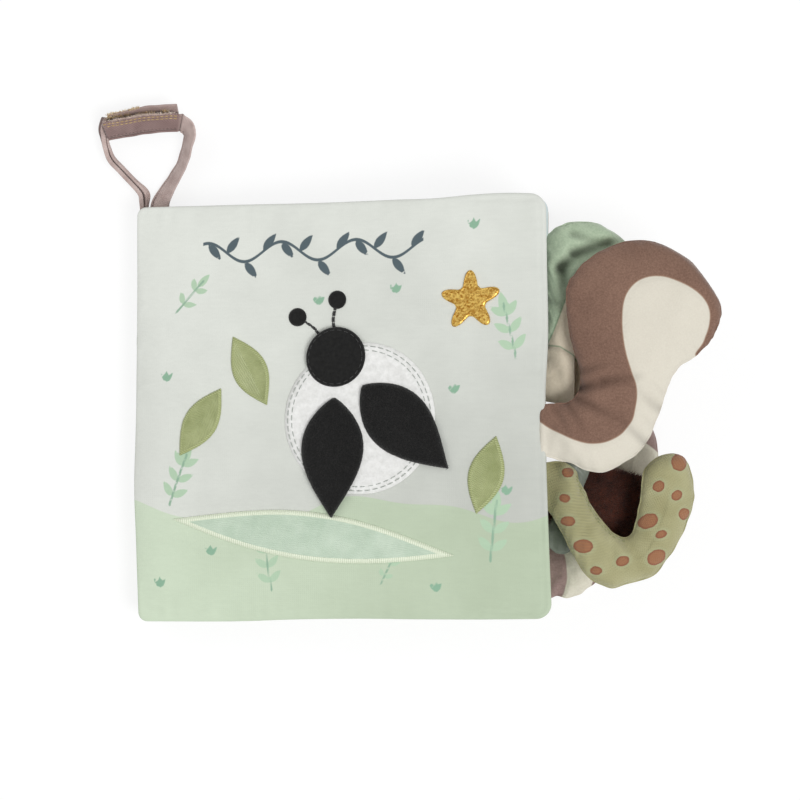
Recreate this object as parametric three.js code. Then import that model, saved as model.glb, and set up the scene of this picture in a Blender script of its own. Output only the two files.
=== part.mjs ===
// Crinkle cloth book for a baby: two padded covers and two padded leaves, one over the other,
// with stuffed tails sewn into their fore-edges, a strap loop at the top of the spine, and soft
// shapes sewn on the front cover. Millimetres, +Z up, the spine at -X, the fore-edge at +X.
// The book lies on its back cover; the origin is in the middle of that cover's flat underside.
import * as THREE from 'three';

// Panels: the covers and the leaves
const coverWidth = 182;          // spine to fore-edge
const coverHeight = 182;         // top edge to bottom edge
const foreCornerRadius = 9;
const spineCornerRadius = 4;
const sideDrawIn = 1.6;          // how far a side pulls in between its corners
const clothThick = 0.9;
const filmThick = 0.3;
const layerGap = 0.3;            // one cloth layer to the next
const panelGap = 0.3;            // one panel to the next at the spine
const spineSet = 0.4;            // the hinge line to the panel's folded edge
const frontCrown = 4;            // how far the padding lifts the cloth above the seam
const backCrown = 2.6;
const leafCrown = 1.3;
const liningCrown = 1;
const leafLiningCrown = 0.8;
const restFlatShare = 0.8;       // the part of the back cover that lies flat on the table
const coverFillShare = 0.91;     // how far batting and film reach towards the seam
const leafFillShare = 0.82;
const crownPower = 3.5;          // exponents: how late each surface turns down to its seam
const restPower = 6;
const seamPower = 60;

// Tails: how far each one reaches from the seam, its span along the seam, its thickness
const darkReach = 48.5;
const darkSpan = 35;
const darkThick = 10.8;
const bandedReach = 49;
const bandedSpan = 73;
const bandedThick = 9.6;
const slateReach = 23.3;
const slateSpan = 40;
const slateThick = 6.8;
const spottedReach = 64.3;
const spottedSpan = 57;
const greenReach = 41;
const greenSpan = 75;
const middleThick = 12.4;        // the green tail and the spotted one, side by side
const brownReach = 74.5;
const brownSpan = 98;
const brownThick = 14;
const brownNeck = 10;            // half the width that is gathered into the seam
const tailNeck = 3;              // the same for any other tail
const tailLift = 0.6;            // the lowest tail above the table
const tailSpacing = 0.8;         // one layer of the pile to the next
const rootThick = 4;             // any tail where it enters the seam
const rootGap = 0.45;            // a tail's gathered root to the seam
const tailSkinThick = 1;
const fillGap = 1;               // the filling to the skin's inner face

// Strap loop
const ribbonWidth = 11;
const ribbonThick = 1.2;
const patchThick = 1.2;          // hook patch and loop patch
const patchGap = 0.3;
const matingGap = 0.6;
const patchWidth = 9;
const barLean = 50;              // degrees that the right arm and the bars stand up from flat
const armTurn = 80;              // degrees that the left arm stands up
const strapReach = 36;           // seam to the middle of the front bar
const strapSpan = 36;            // across the loop
const barHeight = 9.8;           // the middle of the front bar above the table
const loopFloor = 1.4;           // the loop's lower edge above the table
const strapInset = 5.5;          // the left root's middle from the spine

// Shapes sewn on the front cover
const discRadius = 33;
const discThick = 1.6;
const feltThick = 0.9;
const headRadius = 13;
const feelerRadius = 4;
const wingLength = 52;
const wingWidth = 27;
const wingThick = 3;
const wingSpread = 24;           // degrees from the beetle's middle line to each wing's
const beetleTurn = 112;          // degrees, the way the beetle's head points
const wingHinge = 1.2;           // the wing's root to its hinge line
const wingRootGap = 2.4;         // the head to the wings' roots
const wingRootStep = 6;          // each wing's root from the beetle's middle line
const headSink = 4;              // how far the head's middle is inside the disc's edge
const feelerReach = 19;
const appliedGap = 0.4;          // a sewn shape to what it lies on
const bladeLength = 124;
const bladeWidth = 21;
const bladeTurn = -8;            // degrees
const leafLength = 34;
const leafWidth = 15;
const satinThick = 1;
const starRadius = 13;
const starPoints = 5;
const starInnerShare = 0.52;
const wingBulgeShare = 0.8;      // under 1 puts a wing's widest place nearer its root

const up = new THREE.Vector3(0, 0, 1);
const book = new THREE.Group();

const cloth = (color, roughness = 0.9) =>
  new THREE.MeshStandardMaterial({ color, roughness, metalness: 0 });
const coverCloth = cloth('#d6d9d3');
const pageCloth = cloth('#cdd9c3');
const liningCloth = cloth('#e4e6df');
const batting = cloth('#f4f3ee', 1);
const film = cloth('#dfe6ea', 0.25);
const minky = cloth('#f2f1ec', 0.95);
const blackPlush = cloth('#17171a', 0.95);
const blackFelt = cloth('#1d1d20', 1);
const greenSatin = cloth('#c5d9c5', 0.45);
const oliveSatin = cloth('#a3ab76', 0.6);
const goldGlitter = cloth('#e6b04f', 0.35);
const ribbonCloth = cloth('#ab9b96', 0.7);
const hookCloth = cloth('#c9b48a', 0.8);

// Adds one named mesh to a group.
function add(parent, name, geometry, material) {
  const mesh = new THREE.Mesh(geometry, material);
  mesh.name = name;
  parent.add(mesh);
  return mesh;
}

// Turns rings of points into one closed body. Each ring has as many points as the next; the
// first and last rings close on one point each.
function closedLoft(firstPole, rings, lastPole) {
  const points = [firstPole, ...rings.flat(), lastPole];
  const count = rings[0].length;
  const faces = [];
  const at = (ring, i) => 1 + ring * count + (i % count);
  const last = points.length - 1;
  for (let i = 0; i < count; i += 1) {
    faces.push(0, at(0, i + 1), at(0, i));
    faces.push(last, at(rings.length - 1, i), at(rings.length - 1, i + 1));
    for (let ring = 0; ring + 1 < rings.length; ring += 1) {
      faces.push(at(ring, i), at(ring, i + 1), at(ring + 1, i + 1));
      faces.push(at(ring, i), at(ring + 1, i + 1), at(ring + 1, i));
    }
  }
  const geometry = new THREE.BufferGeometry();
  const flat = points.flatMap((point) => [point.x, point.y, point.z]);
  geometry.setAttribute('position', new THREE.Float32BufferAttribute(flat, 3));
  geometry.setIndex(faces);
  geometry.computeVertexNormals();
  return geometry;
}

// A thin piece over an outline: rings of the outline shrink to its centre on the upper face and
// again on the lower face. topAt and baseAt give each face's height at x, y and ring share.
function ringSlab(outline, centre, ringShares, topAt, baseAt) {
  const ringOf = (share, heightAt) => outline.map((point) => {
    const spot = centre.clone().lerp(point, share);
    return new THREE.Vector3(spot.x, spot.y, heightAt(spot.x, spot.y, share));
  });
  const lower = ringShares.map((share) => ringOf(share, baseAt));
  const upper = ringShares.map((share) => ringOf(share, topAt)).reverse();
  const pole = (heightAt) => new THREE.Vector3(centre.x, centre.y, heightAt(centre.x, centre.y, 0));
  return closedLoft(pole(baseAt), [...lower, ...upper], pole(topAt));
}

// Outline of a panel, anticlockwise from the fore-edge's lower corner. The spine side is a
// straight fold, and the three sewn sides draw in between their corners.
function panelOutline(cornerSteps, sideSteps) {
  const top = coverHeight / 2;
  const corners = [
    { x: coverWidth, y: -top, radius: foreCornerRadius, start: -Math.PI / 2, drawn: 1 },
    { x: coverWidth, y: top, radius: foreCornerRadius, start: 0, drawn: 1 },
    { x: spineSet, y: top, radius: spineCornerRadius, start: Math.PI / 2, drawn: 0 },
    { x: spineSet, y: -top, radius: spineCornerRadius, start: Math.PI, drawn: 1 },
  ];
  const points = [];
  corners.forEach((corner, index) => {
    const next = corners[(index + 1) % corners.length];
    const arc = arcPoints(corner, cornerSteps);
    const ahead = arcPoints(next, cornerSteps)[0];
    const leave = arc[arc.length - 1];
    points.push(...arc);
    const inward = new THREE.Vector2(leave.y - ahead.y, ahead.x - leave.x).normalize();
    for (let step = 1; step < sideSteps; step += 1) {
      const share = step / sideSteps;
      const pull = sideDrawIn * corner.drawn * Math.sin(Math.PI * share);
      points.push(leave.clone().lerp(ahead, share).addScaledVector(inward, pull));
    }
  });
  return points;
}

// How far the fore-edge is drawn in at a distance y from the panel's middle.
function foreEdgeDrawnIn(y) {
  const share = 1 / 2 + y / (coverHeight - 2 * foreCornerRadius);
  return sideDrawIn * Math.sin(Math.PI * share);
}

// Quarter turn round one corner of the panel.
function arcPoints(corner, steps) {
  const middleX = corner.x + (corner.x > coverWidth / 2 ? -corner.radius : corner.radius);
  const middleY = corner.y + (corner.y > 0 ? -corner.radius : corner.radius);
  return Array.from({ length: steps + 1 }, (_, step) => {
    const angle = corner.start + (Math.PI / 2) * (step / steps);
    return new THREE.Vector2(middleX + corner.radius * Math.cos(angle),
      middleY + corner.radius * Math.sin(angle));
  });
}

// Full height in the middle of a panel, falling in rounds towards the sewn sides, and nothing at
// the outline, where share is 1. The spine side stays full up to its fold. A panel that lies on
// the table is level but for a margin.
const panelCentre = new THREE.Vector2((coverWidth + spineSet) / 2, 0);

function roundedAt(x, y, share, power) {
  const across = 1 - (Math.max(x - panelCentre.x, 0) / (coverWidth / 2)) ** power;
  const along = 1 - Math.abs(y / (coverHeight / 2)) ** power;
  return Math.max(across, 0) * Math.max(along, 0) * (1 - share ** seamPower);
}

const crowned = (x, y, share) => roundedAt(x, y, share, crownPower);
const levelled = (x, y, share) =>
  Math.min(1, roundedAt(x, y, share, restPower) / (1 - restFlatShare ** restPower) ** 2);

const coarseOutline = panelOutline(2, 3);
const fineOutline = panelOutline(3, 5);
const coverRingShares = [0.35, 0.6, restFlatShare, 0.92, 1];
const leafRingShares = [0.45, restFlatShare, 0.93, 1];
const fillRingShares = [0.45, restFlatShare, 1];
const seamHalf = layerGap / 2;

// Inside one panel, from the seam's plane: the padded cloth lies on one side and the lining on
// the other, with batting and film between them. side is 1 with the padding up, -1 down.
function buildPanel(parent, name, panel) {
  const { side, middle, crown, lining, shape, fill, outer, inner, rings, outline } = panel;
  const paddedAt = (...spot) => seamHalf + crown * shape(...spot);
  const linedAt = (...spot) => -seamHalf - lining * crowned(...spot);
  const filmAt = (...spot) => linedAt(...spot) + layerGap + filmThick;
  const layers = [
    { part: outer.part, material: outer.material, low: paddedAt, reach: 1, shares: rings,
      high: (...spot) => paddedAt(...spot) + clothThick, line: outline },
    { part: 'batting', material: batting, reach: fill, shares: fillRingShares,
      low: (...spot) => filmAt(...spot) + layerGap,
      high: (...spot) => paddedAt(...spot) - layerGap, line: coarseOutline },
    { part: 'crinkle_film', material: film, reach: fill, shares: fillRingShares,
      low: (...spot) => filmAt(...spot) - filmThick, high: filmAt, line: coarseOutline },
    { part: inner.part, material: inner.material, reach: 1, shares: leafRingShares,
      low: (...spot) => linedAt(...spot) - clothThick, high: linedAt, line: outline },
  ];
  layers.forEach((layer) => {
    const height = (edge) => (x, y, share) => middle + side * edge(x, y, share);
    const top = side > 0 ? layer.high : layer.low;
    const base = side > 0 ? layer.low : layer.high;
    const shares = layer.shares.map((share) => share * layer.reach);
    add(parent, `${name}_${layer.part}`,
      ringSlab(layer.line, panelCentre, shares, height(top), height(base)), layer.material);
  });
}

// The pile of tails, from the table up, gives each panel's fore-edge its height.
const pile = {};
let pileTop = tailLift;
const pileOrder = [['banded', bandedThick], ['dark', darkThick], ['slate', slateThick],
  ['middle', middleThick], ['brown', brownThick]];
for (const [name, thick] of pileOrder) {
  pile[name] = { low: pileTop, high: pileTop + thick, middle: pileTop + thick / 2 };
  pileTop += thick + tailSpacing;
}

// Panels from the table up: each turns on a line at the spine, just above the one below.
const backMiddle = seamHalf + backCrown + clothThick;
const backTop = backMiddle + seamHalf + liningCrown + clothThick;
const leafUnder = seamHalf + leafLiningCrown + clothThick;
const leafOver = seamHalf + leafCrown + clothThick;
const coverUnder = seamHalf + liningCrown + clothThick;
const panelHalfGap = panelGap / 2;

function hingedPanel(below, under, foreEdgeHeight) {
  const pivot = below + panelHalfGap;
  const middle = panelHalfGap + under;
  const fan = Math.asin((foreEdgeHeight - pivot - middle) / coverWidth);
  const group = new THREE.Group();
  group.position.set(-coverWidth / 2, 0, pivot);
  group.rotation.y = -fan;
  book.add(group);
  const foreEdge = new THREE.Vector3(coverWidth, 0, middle).applyEuler(group.rotation);
  return { group, pivot, middle, fan, foreEdge: foreEdge.add(group.position) };
}

const leafTwo = hingedPanel(backTop, leafUnder, pile.dark.high + tailSpacing / 2);
const leafTwoTop = leafTwo.pivot + leafTwo.middle + leafOver;
const leafOne = hingedPanel(leafTwoTop, leafUnder, pile.middle.middle);
const leafOneTop = leafOne.pivot + leafOne.middle + leafOver;
const front = hingedPanel(leafOneTop, coverUnder, pile.brown.middle - tailSpacing);
const backGroup = new THREE.Group();
backGroup.position.x = -coverWidth / 2;
book.add(backGroup);

buildPanel(backGroup, 'back_cover', {
  side: -1, middle: backMiddle, crown: backCrown, lining: liningCrown, shape: levelled,
  fill: coverFillShare, rings: coverRingShares, outline: fineOutline,
  outer: { part: 'outer_cloth', material: pageCloth },
  inner: { part: 'lining', material: liningCloth },
});
for (const [name, leaf] of [['leaf_2', leafTwo], ['leaf_1', leafOne]]) {
  buildPanel(leaf.group, name, {
    side: 1, middle: leaf.middle, crown: leafCrown, lining: leafLiningCrown, shape: crowned,
    fill: leafFillShare, rings: leafRingShares, outline: fineOutline,
    outer: { part: 'upper_cloth', material: pageCloth },
    inner: { part: 'lower_cloth', material: liningCloth },
  });
}
buildPanel(front.group, 'front_cover', {
  side: 1, middle: front.middle, crown: frontCrown, lining: liningCrown, shape: crowned,
  fill: coverFillShare, rings: coverRingShares, outline: fineOutline,
  outer: { part: 'outer_cloth', material: coverCloth },
  inner: { part: 'lining', material: liningCloth },
});

// Tails. Each row has one point on either edge, as shares of the tail's reach from the seam and
// of its span along it. rootShare is the root's place, as a share of the cover's height.
const tailSteps = 13;
const tipSections = 3;           // sections of the skin past the end of its hollow
const sectionSides = 10;
const rootSwellShare = 0.3;      // of the length, where the root's height becomes the pile's
const skinTipShare = 0.995;      // the last full section
const tipPower = 1.5;            // how much closer together the sections are at the tip

const backEdge = new THREE.Vector3(coverWidth / 2, 0, backMiddle);
const tails = [
  {
    name: 'brown', color: '#84695d', reach: brownReach, span: brownSpan, neck: brownNeck,
    rootShare: -0.048, layer: pile.brown, root: front.foreEdge, tipShare: 0.34,
    edgeShares: [[0.13, 0.13, 0.13, -0.16], [0.18, 0.21, 0.37, -0.18], [0.13, 0.37, 0.63, -0.05],
      [0.1, 0.56, 0.76, 0.23], [0.2, 0.73, 1.01, 0.4], [0.4, 0.84, 1.055, 0.52],
      [0.62, 0.85, 0.92, 0.69]],
  },
  {
    name: 'green', color: '#a9bfa6', reach: greenReach, span: greenSpan, neck: tailNeck,
    rootShare: 0.097, layer: pile.middle, root: leafOne.foreEdge, tipShare: 0.24,
    edgeShares: [[0.03, 0.12, 0.14, -0.16], [0.02, 0.29, 0.26, -0.2], [0.03, 0.48, 0.34, -0.02],
      [0.045, 0.69, 0.41, 0.26], [0.16, 0.83, 0.56, 0.45], [0.5, 0.85, 0.83, 0.5],
      [0.82, 0.78, 0.95, 0.56]],
  },
  {
    name: 'spotted', color: '#b9bb90', reach: spottedReach, span: spottedSpan, neck: tailNeck,
    rootShare: -0.175, layer: pile.middle, root: leafOne.foreEdge, tipShare: 0.17,
    edgeShares: [[0.06, 0.18, 0.06, -0.27], [0.14, 0.14, 0.1, -0.38], [0.31, -0.18, 0.2, -0.62],
      [0.47, -0.41, 0.36, -0.8], [0.59, -0.3, 0.73, -0.76], [0.63, -0.07, 0.95, -0.4],
      [0.68, 0.12, 1.01, -0.04], [0.76, 0.24, 1, 0.16]],
  },
  {
    name: 'slate', color: '#4b5550', reach: slateReach, span: slateSpan, neck: tailNeck,
    rootShare: -0.286, layer: pile.slate, root: leafTwo.foreEdge, tipShare: 0.3,
    edgeShares: [[0.1, 0.17, 0.19, -0.3], [0.15, 0.33, 0.43, -0.26], [0.2, 0.54, 0.6, 0.07],
      [0.28, 0.72, 0.68, 0.43], [0.42, 0.86, 0.82, 0.72]],
  },
  {
    name: 'banded', color: '#c3bfb2', reach: bandedReach, span: bandedSpan, neck: tailNeck,
    rootShare: -0.403, layer: pile.banded, root: backEdge, tipShare: 0.2,
    edgeShares: [[0.07, 0.14, 0.07, -0.14], [0.2, 0.19, 0.24, -0.15], [0.36, 0.28, 0.45, -0.06],
      [0.44, 0.52, 0.84, 0.23], [0.52, 0.76, 1, 0.6], [0.62, 0.93, 1.01, 0.86]],
  },
  {
    name: 'dark', color: '#3a2018', reach: darkReach, span: darkSpan, neck: tailNeck,
    rootShare: -0.241, layer: pile.dark, root: leafTwo.foreEdge, tipShare: 0.4,
    edgeShares: [[0.08, 0.26, 0.08, -0.26], [0.22, 0.42, 0.22, -0.42], [0.49, 0.5, 0.49, -0.5],
      [0.79, 0.45, 0.79, -0.47], [1, 0.36, 1, -0.39]],
  },
];

// One edge of a tail as a smooth curve through its root and its rows.
function edgeCurve(tail, pick) {
  const neck = pick ? -tail.neck : tail.neck;
  const rows = tail.edgeShares.map((row) =>
    new THREE.Vector3(row[pick] * tail.reach, row[pick + 1] * tail.span, 0));
  return new THREE.CatmullRomCurve3([new THREE.Vector3(0, neck, 0), ...rows], false,
    'centripetal');
}

// The tail's section at a share of its length: an ellipse from one edge to the other. It swells
// from the seam, keeps inside its layer of the pile and closes in a round tip. inset shrinks it,
// for the inner face of the skin and for the filling.
function tailSection(tail, along, inset) {
  const [left, right] = [0, 2].map((pick) => {
    const edge = edgeCurve(tail, pick);
    const inward = new THREE.Vector3().crossVectors(up, edge.getTangent(along));
    return edge.getPoint(along).addScaledVector(inward, pick ? inset : -inset);
  });
  const layer = tail.layer;
  const half = rootThick / 2;
  const seamHeight = THREE.MathUtils.clamp(tail.root.z, layer.low + half, layer.high - half);
  const settle = THREE.MathUtils.smoothstep(along, 0, rootSwellShare);
  const centre = left.clone().lerp(right, 1 / 2);
  centre.z = THREE.MathUtils.lerp(seamHeight, layer.middle, settle);
  const swell = THREE.MathUtils.lerp(half, layer.middle - layer.low, settle);
  const room = Math.min(layer.high - centre.z, centre.z - layer.low);
  const past = Math.max(0, (along - 1 + tail.tipShare) / tail.tipShare);
  const roundTip = Math.sqrt(1 - past ** 2);
  const across = right.sub(left).multiplyScalar(roundTip / 2);
  const rise = up.clone().multiplyScalar(Math.min(swell, room) * roundTip - inset);
  return {
    centre,
    ring: Array.from({ length: sectionSides }, (_, side) => {
      const angle = 2 * Math.PI * (side / sectionSides);
      return centre.clone().addScaledVector(across, Math.cos(angle))
        .addScaledVector(rise, Math.sin(angle));
    }),
  };
}

// Shares of a tail's length where it has a section, closer together towards the tip.
const sectionShares = Array.from({ length: tailSteps + 1 }, (_, step) =>
  skinTipShare * (1 - (1 - step / tailSteps) ** tipPower));

for (const tail of tails) {
  const group = new THREE.Group();
  const rootY = tail.rootShare * coverHeight;
  group.position.set(tail.root.x - foreEdgeDrawnIn(rootY) + rootGap, rootY, 0);
  book.add(group);
  const ringsOf = (shares, inset) => shares.map((share) => tailSection(tail, share, inset).ring);
  const middleAt = (share) => tailSection(tail, share, 0).centre;

  // The skin runs from its tip to its open root, and back inside to the hollow's end.
  const hollowShares = sectionShares.slice(0, -tipSections);
  const skin = [...ringsOf(sectionShares, 0).reverse(), ...ringsOf(hollowShares, tailSkinThick)];
  add(group, `tail_${tail.name}_skin`,
    closedLoft(middleAt(1), skin, middleAt(hollowShares.at(-1))), cloth(tail.color));

  const fillShares = hollowShares.slice(1, -1);
  const fill = ringsOf(fillShares, tailSkinThick + fillGap).reverse();
  add(group, `tail_${tail.name}_filling`,
    closedLoft(middleAt(fillShares.at(-1)), fill, middleAt(fillShares[0])), batting);
}

// Strap: a ribbon follows a curve and stands up from flat by a turn in degrees. outward is 1
// where its upper edge leans to the left of its run, -1 to the right.
const ribbonSteps = 18;

function ribbon(points, outward, degrees) {
  const curve = new THREE.CatmullRomCurve3(points);
  const turn = THREE.MathUtils.degToRad(degrees);
  const rings = Array.from({ length: ribbonSteps + 1 }, (_, step) => {
    const point = curve.getPointAt(step / ribbonSteps);
    const run = curve.getTangentAt(step / ribbonSteps);
    const flat = new THREE.Vector3().crossVectors(up, run).normalize().multiplyScalar(outward);
    const rise = new THREE.Vector3().crossVectors(run, flat).multiplyScalar(outward);
    const wide = flat.clone().multiplyScalar(Math.cos(turn)).addScaledVector(rise, Math.sin(turn));
    const thin = new THREE.Vector3().crossVectors(run, wide);
    return bandSection(point, wide, thin, ribbonWidth, ribbonThick);
  });
  return closedLoft(curve.getPoint(0), rings, curve.getPoint(1));
}

// The four corners of a band's section.
function bandSection(point, wide, thin, width, thick) {
  return [[1, 1], [-1, 1], [-1, -1], [1, -1]].map(([w, t]) => point.clone()
    .addScaledVector(wide, w * width / 2).addScaledVector(thin, t * thick / 2));
}

// A patch or ribbon that runs straight from one point to another along a bar.
function barSolid(start, end, width, thick) {
  const run = end.clone().sub(start).normalize();
  const lean = THREE.MathUtils.degToRad(barLean);
  const flat = new THREE.Vector3().crossVectors(up, run).normalize();
  flat.multiplyScalar(Math.sign(flat.y));
  const wide = flat.multiplyScalar(Math.cos(lean)).addScaledVector(up, Math.sin(lean));
  const thin = new THREE.Vector3().crossVectors(run, wide);
  const rings = [start, end].map((point) => bandSection(point, wide, thin, width, thick));
  return closedLoft(start, rings, end);
}

const strapGroup = new THREE.Group();
strapGroup.position.set(-coverWidth / 2 + strapInset, coverHeight / 2 + layerGap, 0);
book.add(strapGroup);

// Places in the loop: shares of its span along the seam and of its reach from it, and a height.
const strapPoint = ([spanShare, reachShare], height) =>
  new THREE.Vector3(spanShare * strapSpan, reachShare * strapReach, height);

const lean = THREE.MathUtils.degToRad(barLean);
const behind = new THREE.Vector3(0, Math.sin(lean), -Math.cos(lean));
const barPitch = ribbonThick + 2 * (patchGap + patchThick) + matingGap;
const patchStep = ribbonThick / 2 + patchGap + patchThick / 2;
const standingAt = (degrees) =>
  loopFloor + (ribbonWidth / 2) * Math.sin(THREE.MathUtils.degToRad(degrees));
const rightStand = standingAt(barLean);
const leftStand = standingAt(armTurn);
const leftRouteShares = [[-0.09, 0.015], [-0.093, 0.07], [-0.19, 0.18], [-0.36, 0.42],
  [-0.54, 0.66], [-0.61, 0.85], [-0.62, 0.97], [-0.6, 1.07]];
const rightRouteShares = [[0.11, 0.015], [0.113, 0.09], [0.21, 0.27], [0.333, 0.483]];
const rightCornerShares = [[0.42, 0.733], [0.43, 0.86], [0.4, 0.95]];
const barStartShares = [0.32, 0.998];
const barEndShares = [-0.555, 0.895];
const patchStartShare = 0.14;    // of the bar, past the bend of the right arm
const strapRoute = (shares, height) => shares.map((pair) => strapPoint(pair, height));

const barStart = strapPoint(barStartShares, barHeight);
const barEnd = strapPoint(barEndShares, barHeight);
const patchStart = barStart.clone().lerp(barEnd, patchStartShare);
add(strapGroup, 'strap_left_arm',
  ribbon(strapRoute(leftRouteShares, leftStand), 1, armTurn), ribbonCloth);
const rightRoute = [...strapRoute(rightRouteShares, rightStand),
  ...strapRoute(rightCornerShares, barHeight), barStart, patchStart, barEnd];
add(strapGroup, 'strap_right_arm', ribbon(rightRoute, -1, barLean), ribbonCloth);

// The right arm ends in the front bar, and the flap is the bar behind it.
const moved = (point, distance) => point.clone().addScaledVector(behind, distance);
add(strapGroup, 'strap_loop_patch',
  barSolid(moved(barEnd, patchStep), moved(patchStart, patchStep), patchWidth, patchThick),
  ribbonCloth);
const hookStep = barPitch - patchStep;
add(strapGroup, 'strap_hook_patch',
  barSolid(moved(barEnd, hookStep), moved(patchStart, hookStep), patchWidth, patchThick),
  hookCloth);
add(strapGroup, 'strap_flap',
  barSolid(moved(barEnd, barPitch), moved(barStart, barPitch), ribbonWidth, ribbonThick),
  ribbonCloth);

// Shapes sewn on the front cover, in its own plane: x from the spine, y from its middle.
const coverSpot = ([xShare, yShare]) =>
  new THREE.Vector2(panelCentre.x + xShare * coverWidth, yShare * coverHeight);
const coverSurface = (x, y) => front.middle + seamHalf + clothThick
  + frontCrown * crowned(x, y, 0);
const heading = (degrees) => {
  const angle = THREE.MathUtils.degToRad(degrees);
  return new THREE.Vector2(Math.cos(angle), Math.sin(angle));
};
const shapeRingShares = [0.5, 0.85, 1];

// A shape that lies at a height over the cover's padding. Its outline is a list of points round
// its own middle, turned and then moved to its place.
function sewnShape(name, outline, place, degrees, thick, height, material) {
  const angle = THREE.MathUtils.degToRad(degrees);
  const line = outline.map((point) =>
    point.clone().rotateAround(new THREE.Vector2(), angle).add(place));
  const base = (x, y) => coverSurface(x, y) + appliedGap + height;
  const geometry = ringSlab(line, place, shapeRingShares, (x, y) => base(x, y) + thick, base);
  return add(front.group, name, geometry, material);
}

const around = (count, radiusAt) => Array.from({ length: count }, (_, step) => {
  const angle = 2 * Math.PI * (step / count);
  return new THREE.Vector2(Math.cos(angle), Math.sin(angle)).multiplyScalar(radiusAt(angle));
});

// A leaf along its own x: both sides bulge and meet in a point at each end. bulgeShare is 1 for
// a leaf that is widest in the middle.
function leafOutline(length, width, bulgeShare, steps) {
  const side = (sign) => Array.from({ length: steps }, (_, step) => {
    const share = step / steps;
    const reach = sign > 0 ? 1 - share : share;
    return new THREE.Vector2((reach - 1 / 2) * length,
      sign * (width / 2) * Math.sin(Math.PI * reach ** bulgeShare));
  });
  return [...side(-1), ...side(1)];
}

const beetlePlaceShares = [0.06, -0.02];
const bladePlaceShares = [-0.06, -0.3];
const starPlaceShares = [0.32, 0.25];
const discSteps = 24;
const headSteps = 16;
const feelerSteps = 10;
const wingSteps = 8;
const bladeSteps = 10;
const leafSteps = 7;
const starSteps = 6;             // for each of its points

const beetle = coverSpot(beetlePlaceShares);
const ahead = heading(beetleTurn);
const beside = heading(beetleTurn - 90);
const onBeetle = (forward, sideways) =>
  beetle.clone().addScaledVector(ahead, forward).addScaledVector(beside, sideways);

sewnShape('applique_disc', around(discSteps, () => discRadius), beetle, 0, discThick, 0, minky);
const overDisc = discThick + appliedGap;
const headMiddle = discRadius - headSink;
sewnShape('applique_head', around(headSteps, () => headRadius), onBeetle(headMiddle, 0), 0,
  feltThick, overDisc, blackFelt);
const wingRoot = headMiddle - headRadius - wingRootGap;
for (const [name, sign] of [['left', -1], ['right', 1]]) {
  sewnShape(`applique_feeler_${name}`, around(feelerSteps, () => feelerRadius),
    onBeetle(discRadius + feelerReach, sign * feelerReach / 2), 0, feltThick, 0, blackFelt);
  const turn = beetleTurn + 180 + sign * wingSpread;
  const wingMiddle = onBeetle(wingRoot, sign * wingRootStep)
    .addScaledVector(heading(turn), wingHinge + wingLength / 2);
  sewnShape(`plush_wing_${name}`, leafOutline(wingLength, wingWidth, wingBulgeShare, wingSteps),
    wingMiddle, turn, wingThick, overDisc, blackPlush);
}
sewnShape('applique_blade', leafOutline(bladeLength, bladeWidth, 1, bladeSteps),
  coverSpot(bladePlaceShares), bladeTurn, satinThick, 0, greenSatin);
const smallLeaves = [
  { placeShares: [-0.33, -0.02], turn: 58 },
  { placeShares: [-0.21, 0.1], turn: 118 },
  { placeShares: [0.36, -0.16], turn: 74 },
];
smallLeaves.forEach((leaf, index) => {
  sewnShape(`applique_leaf_${index + 1}`, leafOutline(leafLength, leafWidth, 1, leafSteps),
    coverSpot(leaf.placeShares), leaf.turn, satinThick, 0, oliveSatin);
});
const starRadiusAt = (angle) => starRadius * THREE.MathUtils.lerp(starInnerShare, 1,
  (1 + Math.cos(starPoints * angle)) / 2);
sewnShape('applique_star', around(starSteps * starPoints, starRadiusAt),
  coverSpot(starPlaceShares), 90, feltThick, 0, goldGlitter);

export default book;
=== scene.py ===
import math

import bpy
import numpy as np
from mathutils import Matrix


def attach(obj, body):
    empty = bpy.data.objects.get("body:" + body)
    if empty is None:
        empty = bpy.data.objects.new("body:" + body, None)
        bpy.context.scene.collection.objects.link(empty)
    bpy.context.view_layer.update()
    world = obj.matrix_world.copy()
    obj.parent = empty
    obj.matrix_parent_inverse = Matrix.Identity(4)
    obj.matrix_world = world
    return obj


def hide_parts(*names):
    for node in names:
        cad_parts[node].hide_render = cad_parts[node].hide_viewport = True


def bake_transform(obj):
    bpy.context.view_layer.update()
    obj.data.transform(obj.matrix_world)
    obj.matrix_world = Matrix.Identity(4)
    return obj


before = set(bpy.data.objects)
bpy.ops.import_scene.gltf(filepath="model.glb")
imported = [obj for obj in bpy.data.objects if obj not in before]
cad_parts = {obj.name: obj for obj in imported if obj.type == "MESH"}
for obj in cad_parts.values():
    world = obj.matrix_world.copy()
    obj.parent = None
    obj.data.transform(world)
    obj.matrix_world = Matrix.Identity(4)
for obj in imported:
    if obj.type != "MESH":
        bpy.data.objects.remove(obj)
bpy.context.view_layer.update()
mm = 0.001
scene = bpy.context.scene

# The photograph looks straight down on the book from one metre; places are in millimetres.
cameraView = {"place": (24.8, 3.7, 1000.0), "lens": 99.8, "sensor": 36.0}
bookLens = bpy.data.cameras.new("bookLens")
bookLens.lens = cameraView["lens"]
bookLens.sensor_width = cameraView["sensor"]
bookCamera = bpy.data.objects.new("bookCamera", bookLens)
bookCamera.location = [place * mm for place in cameraView["place"]]
scene.collection.objects.link(bookCamera)
scene.camera = bookCamera


# Numbers
def smoothStep(value):
    # 0 to 1 with level ends: three times the square less twice the cube
    t = np.clip(value, 0, 1)
    return t * t * (3 - 2 * t)


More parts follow.
